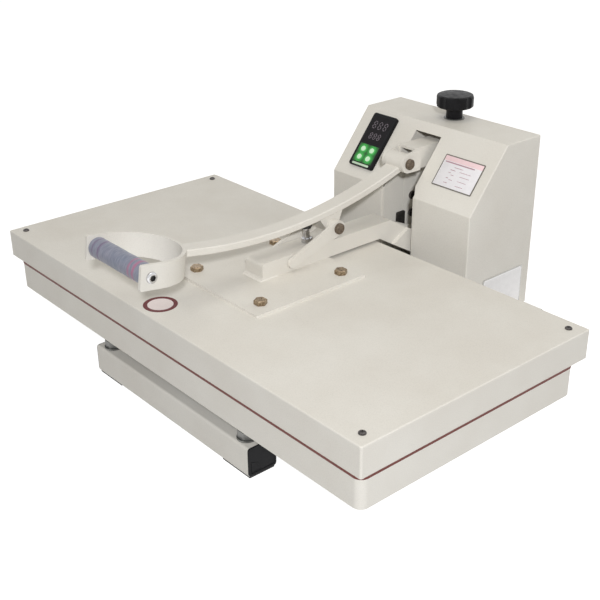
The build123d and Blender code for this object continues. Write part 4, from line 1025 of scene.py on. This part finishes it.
class PRESS_OT_silicone_sheet(bpy.types.Operator):
    """Model the silicone sheet in the table's tray"""

    bl_idname = "press.silicone_sheet"
    bl_label = "Silicone Sheet"

    def execute(self, context):
        pads = context.scene.press_pads
        low, high = map(Vector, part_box("silicone_pad"))
        columns = 24
        rows = 12
        sheet = block("silicone_sheet", high - low, (low + high) / 2)
        round_corners(sheet, pads.corner, 6)
        pick_edges(sheet, lambda place, line: place.z > high.z - 0.0001)
        bpy.ops.mesh.bevel(offset=pads.edge, segments=3)
        for step in range(1, columns):
            slice_through((low.x + (high.x - low.x) * step / columns, 0, 0), (1, 0, 0))
        for step in range(1, rows):
            slice_through((0, low.y + (high.y - low.y) * step / rows, 0), (0, 1, 0))
        settle(sheet)
        out(sheet)
        dress(sheet, bpy.data.materials["silicone_sheet"], "frame")
        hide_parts("silicone_pad")
        return {"FINISHED"}


class PRESS_OT_silicone_lip(bpy.types.Operator):
    """Lay the thin red lip of the silicone sheet on the table's rim and fold it over the edge"""

    bl_idname = "press.silicone_lip"
    bl_label = "Silicone Lip"

    def ring(self, name, past, foot, top, width):
        """Flat ring round the table: how far it reaches past the table, its heights and its width."""
        low, high = map(Vector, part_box("table_pan"))
        size = (high.x - low.x + 2 * past, high.y - low.y + 2 * past, top - foot)
        band = block(name, size, ((low.x + high.x) / 2, (low.y + high.y) / 2, (foot + top) / 2))
        round_corners(band, 0.012 + past, 8)
        pick_faces(band, lambda place, normal: abs(normal.z) > 0.9)
        bpy.ops.mesh.inset(thickness=width)
        bpy.ops.mesh.bridge_edge_loops()
        settle(band)
        out(band)
        dress(band, bpy.data.materials["silicone_edge"], "frame")

    def execute(self, context):
        low, high = map(Vector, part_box("table_pan"))
        pad_low, pad_high = map(Vector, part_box("silicone_pad"))
        fold = context.scene.press_pads.lip_fold
        self.ring("silicone_lip", -0.0003, high.z + 0.00005, pad_high.z - 0.00005, pad_low.x - low.x - 0.0005)
        self.ring("silicone_fold", 0.0005, high.z - fold, COVER_FOOT - 0.0001, 0.00047)
        return {"FINISHED"}


class PRESS_OT_fibre_blanket(bpy.types.Operator):
    """Model the fibre blanket over the heat platen, cut out round the standoffs and posts"""

    bl_idname = "press.fibre_blanket"
    bl_label = "Fibre Blanket"

    def execute(self, context):
        low, high = map(Vector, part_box("insulation_blanket"))
        bolts_low, bolts_high = map(Vector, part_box("plate_bolts"))
        screws_low, screws_high = map(Vector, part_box("cover_screws"))
        standoff_in = (0.0098, 0.0085)
        standoff_hole = 0.0096
        post_in = (0.005, 0.005)
        post_hole = 0.024
        through = 0.05
        middle_z = (low.z + high.z) / 2
        felt = block("fibre_blanket", high - low, (low + high) / 2)
        round_corners(felt, 0.006, 4)
        pick_edges(felt, lambda place, line: abs(line.z) < 0.1)
        bpy.ops.mesh.bevel(offset=0.003, segments=2)
        leave_edit()
        holes = []
        for x, y in in_corners(bolts_low, bolts_high, *standoff_in):
            place = (x, y, middle_z)
            bpy.ops.mesh.primitive_cylinder_add(
                vertices=32,
                radius=standoff_hole,
                depth=through,
                location=place,
            )
            holes.append(bpy.context.object)
        for x, y in in_corners(screws_low, screws_high, *post_in):
            bpy.ops.mesh.primitive_cube_add(size=post_hole, location=(x, y, middle_z), scale=(1, 1, 2))
            holes.append(bpy.context.object)
        cutter = join(*reversed(holes))
        bpy.ops.object.transform_apply()
        carve(felt, cutter)
        settle(felt)
        out(felt)
        dress(felt, bpy.data.materials["fibre_blanket"], "upper_platen")
        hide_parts("insulation_blanket")
        return {"FINISHED"}


class PRESS_OT_round_badge(bpy.types.Operator):
    """Stick the plain round badge on the cover's front edge"""

    bl_idname = "press.round_badge"
    bl_label = "Round Badge"

    def execute(self, context):
        prints = context.scene.press_prints
        centre = Vector((prints.badge_place[0], COVER_FRONT + prints.badge_place[1]))
        off_paint = 0.00002
        thick = 0.00022
        rim = 0.0003
        groove = 0.0002
        leave_edit()
        bpy.ops.mesh.primitive_circle_add(
            vertices=72,
            radius=prints.badge_radius,
            fill_type="NGON",
            location=(*centre, COVER_TOP + off_paint),
        )
        badge = start("round_badge")
        bpy.ops.mesh.extrude_region_move(TRANSFORM_OT_translate={"value": (0, 0, thick)})
        bpy.ops.mesh.inset(thickness=rim)
        bpy.ops.mesh.inset(thickness=prints.badge_band)
        bpy.ops.mesh.inset(thickness=groove, depth=-0.00005)
        settle(badge)
        out(badge)
        dress(badge, printed_sheet("badge_ring", prints.badge_ring), "upper_platen")
        badge.data.materials.append(printed_sheet("badge_middle", prints.badge_middle))
        inner = prints.badge_radius - rim - prints.badge_band - groove / 2
        for face in badge.data.polygons:
            corners = [badge.data.vertices[i].co.xy for i in face.vertices]
            if face.normal.z > 0.9 and all((corner - centre).length < inner for corner in corners):
                face.material_index = 1
        return {"FINISHED"}


class PRESS_OT_display_digits(bpy.types.Operator):
    """Set two rows of unlit segment digits behind the window"""

    bl_idname = "press.display_digits"
    bl_label = "Display Digits"

    def execute(self, context):
        prints = context.scene.press_prints
        # Middle of each row along the window, then the width and half the height of its digits
        rows = ((0.0275, 0.0062, 0.0062), (0.0075, 0.0048, 0.0050))
        lean = 0.1
        pitch = 1.95
        bar_share = 0.86
        bar_width = 0.0062
        bar_height = 0.0040
        leave_edit()
        bpy.ops.mesh.primitive_circle_add(vertices=6, radius=0.5, fill_type="NGON")
        bar = start("display_digits")
        bpy.ops.transform.resize(value=(1, 0.26, 1))
        bpy.ops.mesh.extrude_region_move(TRANSFORM_OT_translate={"value": (0, 0, 0.02)})
        bpy.ops.mesh.inset(thickness=0.03)
        places = []
        for row_along, width, half in rows:
            for digit in range(prints.digit_count):
                x = (digit - (prints.digit_count - 1) / 2) * width * pitch
                bars = [(0, half, 0), (0, 0, 0), (0, -half, 0)]
                bars += [(side * width / 2, up * half / 2, 90) for side in (-1, 1) for up in (-1, 1)]
                for bar_x, bar_y, turn in bars:
                    spot = on_slope(
                        BEZEL_SIDE + x + bar_x + lean * bar_y, BEZEL_ALONG + row_along + bar_y, BEZEL_LIFT
                    )
                    size = ((half if turn else width) * bar_share, bar_width, bar_height)
                    places.append(spot @ at((0, 0, 0), (math.radians(turn), "Z"), size=size))
        digits = copies(bar, places)
        settle(digits)
        dress(digits, printed_sheet("unlit_digits", prints.digit_ink, 0.3), "frame")
        return {"FINISHED"}


class PRESS_OT_bezel_strip(bpy.types.Operator):
    """Add the pale strip under the keypad"""

    bl_idname = "press.bezel_strip"
    bl_label = "Bezel Strip"

    def execute(self, context):
        thick = 0.0003
        below_middle = 0.0450
        strip = block("bezel_strip", (0.038, 0.0036, thick))
        round_corners(strip, 0.0012, 4)
        pick_edges(strip, lambda place, line: place.z > 0.0001)
        bpy.ops.mesh.bevel(offset=0.0001, segments=2)
        place = on_slope(BEZEL_SIDE, BEZEL_ALONG - below_middle, BEZEL_LIFT + thick / 2)
        strip = copies(strip, [place])
        settle(strip)
        dress(strip, printed_sheet("pale_strip", ink(206, 228, 204)), "frame")
        return {"FINISHED"}


class PRESS_OT_instruction_card(bpy.types.Operator):
    """Lay the card on its plate, with a blush band and plain printed bars"""

    bl_idname = "press.instruction_card"
    bl_label = "Instruction Card"

    def execute(self, context):
        prints = context.scene.press_prints
        width, height = (side - 2 * prints.card_frame for side in CARD_PLATE)
        thick = 0.0002
        ink_thick = 0.00006
        ink_lift = 0.00001
        band_foot = height * 0.34
        card = block("instruction_card", (width, height, thick))
        slice_through((0, band_foot, 0), (0, 1, 0))

        def on_top_rim(place, line):
            past_side = abs(abs(place.x) - width / 2) < 0.0001
            past_end = abs(abs(place.y) - height / 2) < 0.0001
            return place.z > 0.00005 and (past_side or past_end)

        pick_edges(card, on_top_rim)
        bpy.ops.mesh.bevel(offset=0.00008, segments=2)
        leave_edit()
        card.data.materials.append(printed_sheet("card_paper", prints.card_paper, 0.45))
        card.data.materials.append(printed_sheet("card_blush", prints.card_blush, 0.45))
        for face in card.data.polygons:
            face.material_index = 1 if face.center.y > band_foot else 0
        card = copies(card, [on_slope(CARD_SIDE, CARD_ALONG, CARD_LIFT + thick / 2)])
        settle(card)
        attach(card, "frame")

        # Plain bars: middle across and up the card, length and height
        rows = [
            (-0.0050, 0.0150, 0.0600, 0.0018),
            (-0.0040, 0.0090, 0.0180, 0.0008),
            (-0.0130, 0.0040, 0.0100, 0.0009),
            (0.0120, 0.0040, 0.0230, 0.0007),
            (-0.0170, -0.0010, 0.0050, 0.0008),
            (-0.0100, -0.0040, 0.0060, 0.0008),
            (0.0140, -0.0030, 0.0200, 0.0007),
            (-0.0170, -0.0100, 0.0050, 0.0009),
            (-0.0090, -0.0120, 0.0070, 0.0008),
            (0.0130, -0.0110, 0.0180, 0.0007),
            (-0.0160, -0.0180, 0.0070, 0.0009),
            (0.0120, -0.0190, 0.0160, 0.0007),
        ]
        mark = block("card_bars", (1, 1, 1))
        round_corners(mark, 0.18, 3)
        places = [
            on_slope(CARD_SIDE + x, CARD_ALONG + y, CARD_LIFT + thick + ink_lift)
            @ Matrix.Diagonal((long, tall, ink_thick, 1))
            for x, y, long, tall in rows
        ]
        bars = copies(mark, places)
        settle(bars)
        dress(bars, printed_sheet("card_ink", prints.card_ink), "frame")
        return {"FINISHED"}


class PRESS_OT_rating_sheet(bpy.types.Operator):
    """Lay a bare pale sheet with an embossed border on the side plate"""

    bl_idname = "press.rating_sheet"
    bl_label = "Rating Sheet"

    def execute(self, context):
        low, high = map(Vector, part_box("rating_plate"))
        rim = 0.002
        thick = 0.0002
        emboss = 0.0001
        sheet = block("rating_sheet", (high.y - low.y - 2 * rim, high.z - low.z - 2 * rim, thick))
        round_corners(sheet, 0.004, 6)
        pick_faces(sheet, lambda place, normal: normal.z > 0.9)
        for thickness, depth in ((0.0015, 0), (0.0003, emboss), (0.0006, 0), (0.0003, -emboss)):
            bpy.ops.mesh.inset(thickness=thickness, depth=depth)
        place = (high.x + thick / 2, (low.y + high.y) / 2, (low.z + high.z) / 2)
        sheet = copies(sheet, [at(place) @ FACING_RIGHT])
        settle(sheet)
        dress(sheet, printed_sheet("rating_paper", ink(255, 254, 255), 0.2), "frame")
        return {"FINISHED"}


class PRESS_OT_screw_heads(bpy.types.Operator):
    """Turn the domed screw heads with their drives and set them in place"""

    bl_idname = "press.screw_heads"
    bl_label = "Screw Heads"

    def head(self, name, radius, height, hexagon=False):
        """Domed head standing on the origin, with a cross or hexagon drive."""
        dome = height * 0.78
        socket = radius * 0.55
        long, narrow = radius * 1.1, radius * 0.24
        piece = disc(name, radius, height, (0, 0, height / 2), 40)
        pick_edges(piece, lambda place, line: place.z > height - 0.00001)
        bpy.ops.mesh.bevel(offset=dome, segments=7, profile=0.5)
        if hexagon:
            drive = disc("drive", socket, height, (0, 0, height), 6)
        else:
            bar = block("bar", (long, narrow, height), (0, 0, height))
            drive = block("drive", (narrow, long, height), (0, 0, height))
            carve(drive, bar, "UNION")
        carve(piece, drive)
        return piece

    def place_heads(self, piece, places, material, body, slot):
        """Copies of a head at its places, with their finish."""
        heads = copies(piece, places)
        settle(heads)
        dress(heads, material, body)
        return heads

    def execute(self, context):
        black = bpy.data.materials["black_paint"]
        # Four on the cover, each turned its own way
        low, high = map(Vector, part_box("cover_screws"))
        radius = 0.005
        spots = in_corners(low, high, radius, radius)
        places = [at((x, y, COVER_TOP), (turn, "Z")) for (x, y), turn in zip(spots, (0.3, 1.1, 0.7, 0.1))]
        head = self.head("cover_screw_heads", radius, 0.0026)
        heads = self.place_heads(head, places, bpy.data.materials["dark_nickel"], "upper_platen", "chrome")
        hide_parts("cover_screws")
        # Two at the ends of the grip's rod; the faces inside their sockets get black paint as painted shade
        # in the recess
        low, high = map(Vector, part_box("grip_screws"))
        middle = (low + high) / 2
        height = 0.004
        socket_reach = 0.0048
        below_face = 0.0002
        places = [
            at((side * (high.x - height), middle.y, middle.z), (side * math.pi / 2, "Y")) for side in (-1, 1)
        ]
        head = self.head("grip_screw_heads", 0.008, height, hexagon=True)
        heads = self.place_heads(head, places, bpy.data.materials["chrome_plate"], "lever", "chrome")
        # Painted shade: black paint on the faces inside each socket
        heads.data.materials.append(black)
        for face in heads.data.polygons:
            reach = (face.center - middle).yz.length
            if reach < socket_reach and abs(face.center.x) < high.x - below_face:
                face.material_index = 1
        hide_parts("grip_screws")
        # Six on the back panel
        low, high = map(Vector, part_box("panel_screws"))
        radius = 0.004
        height = 0.0022
        places = [
            at((x, high.y - height, z), (-math.pi / 2, "X"), (x + 3 * z, "Z"))
            for x in (low.x + radius, high.x - radius)
            for z in (low.z + radius, (low.z + high.z) / 2, high.z - radius)
        ]
        head = self.head("panel_screw_heads", radius, height)
        heads = self.place_heads(head, places, black, "frame", "painted_black")
        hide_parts("panel_screws")
        return {"FINISHED"}


class PRESS_OT_slot_liners(bpy.types.Operator):
    """Fold the sheet liners behind the column's slot"""

    bl_idname = "press.slot_liners"
    bl_label = "Slot Liners"

    def execute(self, context):
        shell_low, shell_high = map(Vector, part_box("column_shell"))
        front = COLUMN_FRONT + 0.0017
        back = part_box("cheek_plates")[0][1] - 0.0006
        foot = shell_low.z + 0.012
        top = shell_high.z - 0.014
        side = 0.0324
        sheet = 0.0012
        flange = 0.008
        under_slope = 0.0022
        middle = (side + sheet / 2, (front + back) / 2, (foot + top) / 2)
        liner = block("slot_liners", (sheet, back - front, top - foot), middle)
        # Cut along the underside of the column's slope
        slope = Vector((0, -math.sin(SLOPE_ANGLE), math.cos(SLOPE_ANGLE)))
        under = Vector((0, COLUMN_FRONT, SLOPE_FOOT_Z)) - under_slope * slope
        slice_through(under, slope, clear_outer=True, use_fill=True)
        # Flange along the front edge, folded away from the slot behind the shell
        slice_through((0, front + sheet, 0), (0, 1, 0))
        pick_faces(liner, lambda place, normal: normal.x > 0.99 and place.y < front + sheet)
        bpy.ops.mesh.extrude_region_move(TRANSFORM_OT_translate={"value": (flange, 0, 0)})
        liners = copies(liner, [Matrix.Identity(4), Matrix.Diagonal((-1, 1, 1, 1))])
        settle(liners)
        out(liners)
        dress(liners, bpy.data.materials["cream_powder_coat"], "frame")
        return {"FINISHED"}


class PRESS_OT_plug_faces(bpy.types.Operator):
    """Mould the caps of the bars' end plugs, with their rims and quarter-round marks"""

    bl_idname = "press.plug_faces"
    bl_label = "Plug Faces"

    def execute(self, context):
        low, high = map(Vector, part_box("table_foot_bars"))
        rear_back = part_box("rear_foot_bar")[1][1]
        wide = 0.0474
        tall = high.z - low.z - 0.0006
        half_bar = 0.024
        mark_in = 0.0048
        stand_out = 0.00075
        thick = 0.0014
        mark_radius = 0.016
        cap = block("plug_faces", (wide, tall, thick))
        round_corners(cap, 0.0045, 5)
        pick_faces(cap, lambda place, normal: normal.z > 0.9)
        bpy.ops.mesh.inset(thickness=0.0006, depth=0.0005)
        bpy.ops.mesh.inset(thickness=0.0030)
        bpy.ops.mesh.inset(thickness=0.0004, depth=-0.0007)
        # Quarter-round mark in a corner of the cap
        mark = disc("plug_mark", mark_radius, 0.0006, (0, 0, thick / 2), 48)
        slice_through((0, 0, 0), (-1, 0, 0), clear_outer=True, use_fill=True)
        slice_through((0, 0, 0), (0, -1, 0), clear_outer=True, use_fill=True)
        pick_faces(mark, lambda place, normal: normal.z > 0.9)
        bpy.ops.mesh.inset(thickness=0.0010)
        bpy.ops.mesh.inset(thickness=0.0003, depth=-0.0003)
        bpy.ops.mesh.select_all(action="SELECT")
        bpy.ops.transform.translate(value=(mark_in - wide / 2, mark_in - tall / 2, 0))
        cap = join(mark, cap)
        places = [
            at((x, y, (low.z + high.z) / 2), (turn, "Z")) @ FACING_RIGHT
            for y in (low.y + half_bar, high.y - half_bar, rear_back - half_bar)
            for x, turn in ((high.x + stand_out, 0), (low.x - stand_out, math.pi))
        ]
        caps = copies(cap, places)
        settle(caps)
        dress(caps, bpy.data.materials["moulded_black"], "frame")
        return {"FINISHED"}


class PRESS_OT_weld_beads(bpy.types.Operator):
    """Run painted weld beads round the swing arm's front end and the handle's joint"""

    bl_idname = "press.weld_beads"
    bl_label = "Weld Beads"

    def round_arm(self):
        """Places of the beads along the arm's sides near its front end, and across it."""
        low, high = map(Vector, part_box("swing_arm"))
        pitch = 0.0022
        level = PLATE_TOP + 0.0003
        start_y = low.y + 0.001
        run = 0.029
        count = int(run / pitch)
        places = []
        for side in (-1, 1):
            for step in range(count):
                wobble = 0.0002 * math.sin(step * 2.1 + side)
                place = (side * (high.x + 0.0003) + wobble, start_y + run * step / (count - 1), level)
                turns = ((side * math.radians(45), "Y"), (math.radians(20), "X"))
                places.append(at(place, *turns, size=(0.0042, 0.0030, 0.0026)))
        across = int(2 * high.x / pitch)
        for step in range(across + 1):
            wobble = 0.0002 * math.sin(step * 1.7)
            place = (low.x + (high.x - low.x) * step / across, low.y - 0.0003 + wobble, level)
            places.append(at(place, (math.radians(45), "X"), size=(0.0030, 0.0042, 0.0026)))
        return places

    def round_lever(self):
        """Places of the beads round the lever's end, where it meets the strap's arc."""
        low, high = map(Vector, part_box("handle_grip"))
        grip_y = (low.y + high.y) / 2
        grip_z = (low.z + high.z) / 2
        tilt = math.radians(8.5)
        arc_radius = 0.069
        arc_middle = 0.0165
        half_weld = 0.0140
        side_weld = 0.0143

        def on_strap(x, level, proud):
            along = arc_middle + math.sqrt(arc_radius**2 - x**2)
            lift = (level - grip_z + along * math.sin(tilt)) / math.cos(tilt)
            return (x, grip_y + along * math.cos(tilt) + lift * math.sin(tilt) + proud, level)

        places = []
        for level in (0.2648, 0.2526):
            for step in range(15):
                place = on_strap(-half_weld + 2 * half_weld * step / 14, level, 0.0004)
                places.append(at(place, (math.radians(18), "Y"), size=(0.0032, 0.0030, 0.0030)))
        for side in (-1, 1):
            for step in range(6):
                place = on_strap(side * side_weld, 0.2540 + 0.0018 * step, 0.0006)
                places.append(at(place, (math.radians(90), "Y"), size=(0.0028, 0.0026, 0.0026)))
        return places

    def execute(self, context):
        for made, places, body in (
            (bead("arm_weld_beads", 1.0, 1.5, 0.8), self.round_arm(), "upper_platen"),
            (bead("handle_weld_beads", 1.4, 1.0, 0.9), self.round_lever(), "lever"),
        ):
            beads = copies(made, places)
            settle(beads)
            dress(beads, bpy.data.materials["cream_powder_coat"], body)
        return {"FINISHED"}


class PRESS_OT_stage(bpy.types.Operator):
    """Lay the floor, hang the lamps and set the camera"""

    bl_idname = "press.stage"
    bl_label = "Stage"

    def seen_white(self, tree):
        """One for a ray that sees the background: from the camera, off gloss or through glass."""
        path = tree.nodes.new("ShaderNodeLightPath").outputs
        seen = larger(tree, path["Is Camera Ray"], path["Is Glossy Ray"])
        return larger(tree, seen, path["Is Transmission Ray"])

    def floor(self):
        """White floor that keeps the press's shadow."""
        leave_edit()
        bpy.ops.mesh.primitive_plane_add(size=60, location=(0, 0, 0))
        floor = bpy.context.object
        floor.name = "floor"
        material = bpy.data.materials.new("white_floor")
        material.use_nodes = True
        tree = material.node_tree
        tree.nodes.clear()
        lit = add_node(tree, "ShaderNodeBsdfDiffuse", {"Color": (0.45, 0.45, 0.45, 1)})
        links = {"Strength": self.seen_white(tree)}
        glow = add_node(tree, "ShaderNodeEmission", {"Color": (0.90, 0.90, 0.90, 1)}, links)
        links = {0: lit.outputs["BSDF"], 1: glow.outputs["Emission"]}
        both = add_node(tree, "ShaderNodeAddShader", links=links)
        add_node(tree, "ShaderNodeOutputMaterial", links={"Surface": both.outputs["Shader"]})
        floor.data.materials.append(material)

    def sky(self, strength):
        """Even warm light from all round, seen as white."""
        world = bpy.data.worlds.new("even_sky")
        world.use_nodes = True
        tree = world.node_tree
        light = tree.nodes["Background"]
        light.inputs["Color"].default_value = (1, 0.955, 0.86, 1)
        light.inputs["Strength"].default_value = strength
        white = add_node(tree, "ShaderNodeBackground", {"Color": (1, 1, 1, 1), "Strength": 1})
        links = {"Fac": self.seen_white(tree), 1: light.outputs["Background"], 2: white.outputs["Background"]}
        choice = add_node(tree, "ShaderNodeMixShader", links=links)
        tree.links.new(choice.outputs["Shader"], tree.nodes["World Output"].inputs["Surface"])
        bpy.context.scene.world = world

    def lamps(self, stage):
        """Softbox over the press, key flash behind the camera and a fill behind the column."""
        middle = Vector((0.1, -0.05, 0.15))
        for name, place, size, power, tint in (
            ("softbox", stage.softbox_place, stage.softbox_size, stage.softbox_power, (1, 0.97, 0.90)),
            ("key_flash", stage.flash_place, 0.16, stage.flash_power, (0.97, 0.98, 1)),
            ("rear_fill", stage.rear_place, 1.5, stage.rear_power, (1, 0.98, 0.94)),
        ):
            bpy.ops.object.light_add(type="AREA", location=place)
            lamp = bpy.context.object
            lamp.name = name
            lamp.data.shape = "SQUARE"
            lamp.data.size = size
            lamp.data.energy = power
            lamp.data.color = tint
            lamp.visible_glossy = name == "softbox"
            lamp.rotation_euler = (Vector(place) - middle).to_track_quat("Z", "Y").to_euler()

    def camera(self, stage):
        """Camera at the photograph's view."""
        bpy.ops.object.camera_add()
        camera = bpy.context.object
        camera.name = "photo_camera"
        place = Vector(stage.camera_place)
        back = (place - Vector(stage.camera_aim)).normalized()
        right = Vector((0, 0, 1)).cross(back).normalized()
        up = back.cross(right)
        leaning = math.cos(stage.camera_roll) * right + math.sin(stage.camera_roll) * up
        upright = -math.sin(stage.camera_roll) * right + math.cos(stage.camera_roll) * up
        camera.matrix_world = at(place) @ Matrix((leaning, upright, back)).transposed().to_4x4()
        camera.data.sensor_width = 36
        camera.data.lens = stage.camera_lens
        bpy.context.scene.camera = camera

    def execute(self, context):
        stage = context.scene.press_stage
        self.floor()
        self.sky(stage.sky_strength)
        self.lamps(stage)
        self.camera(stage)
        context.scene.view_settings.view_transform = "Standard"
        return {"FINISHED"}


SETTINGS = {
    "press_paint": PressPaintSettings,
    "press_grip": PressGripSettings,
    "press_pads": PressPadSettings,
    "press_prints": PressPrintSettings,
    "press_stage": PressStageSettings,
}

OPERATORS = (
    PRESS_OT_finishes,
    PRESS_OT_foam_grip,
    PRESS_OT_silicone_sheet,
    PRESS_OT_silicone_lip,
    PRESS_OT_fibre_blanket,
    PRESS_OT_round_badge,
    PRESS_OT_display_digits,
    PRESS_OT_bezel_strip,
    PRESS_OT_instruction_card,
    PRESS_OT_rating_sheet,
    PRESS_OT_screw_heads,
    PRESS_OT_slot_liners,
    PRESS_OT_plug_faces,
    PRESS_OT_weld_beads,
    PRESS_OT_stage,
)


class PRESS_PT_panel(bpy.types.Panel):
    """Everything that dresses the press, in order"""

    bl_idname = "PRESS_PT_panel"
    bl_label = "Fusing Press"
    bl_space_type = "VIEW_3D"
    bl_region_type = "UI"
    bl_category = "Press"

    def draw(self, context):
        for operator in OPERATORS:
            self.layout.operator(operator.bl_idname)
        for name, settings in SETTINGS.items():
            box = self.layout.box()
            for setting in settings.__annotations__:
                box.prop(getattr(context.scene, name), setting)


def register():
    for name, settings in SETTINGS.items():
        bpy.utils.register_class(settings)
        setattr(bpy.types.Scene, name, PointerProperty(type=settings))
    for operator in OPERATORS:
        bpy.utils.register_class(operator)
    bpy.utils.register_class(PRESS_PT_panel)


def unregister():
    bpy.utils.unregister_class(PRESS_PT_panel)
    for operator in reversed(OPERATORS):
        bpy.utils.unregister_class(operator)
    for name, settings in reversed(SETTINGS.items()):
        delattr(bpy.types.Scene, name)
        bpy.utils.unregister_class(settings)


def main():
    register()
    bpy.ops.press.finishes()
    bpy.ops.press.foam_grip()
    bpy.ops.press.silicone_sheet()
    bpy.ops.press.silicone_lip()
    bpy.ops.press.fibre_blanket()
    bpy.ops.press.round_badge()
    bpy.ops.press.display_digits()
    bpy.ops.press.bezel_strip()
    bpy.ops.press.instruction_card()
    bpy.ops.press.rating_sheet()
    bpy.ops.press.screw_heads()
    bpy.ops.press.slot_liners()
    bpy.ops.press.plug_faces()
    bpy.ops.press.weld_beads()
    bpy.ops.press.stage()


if __name__ == "__main__":
    main()
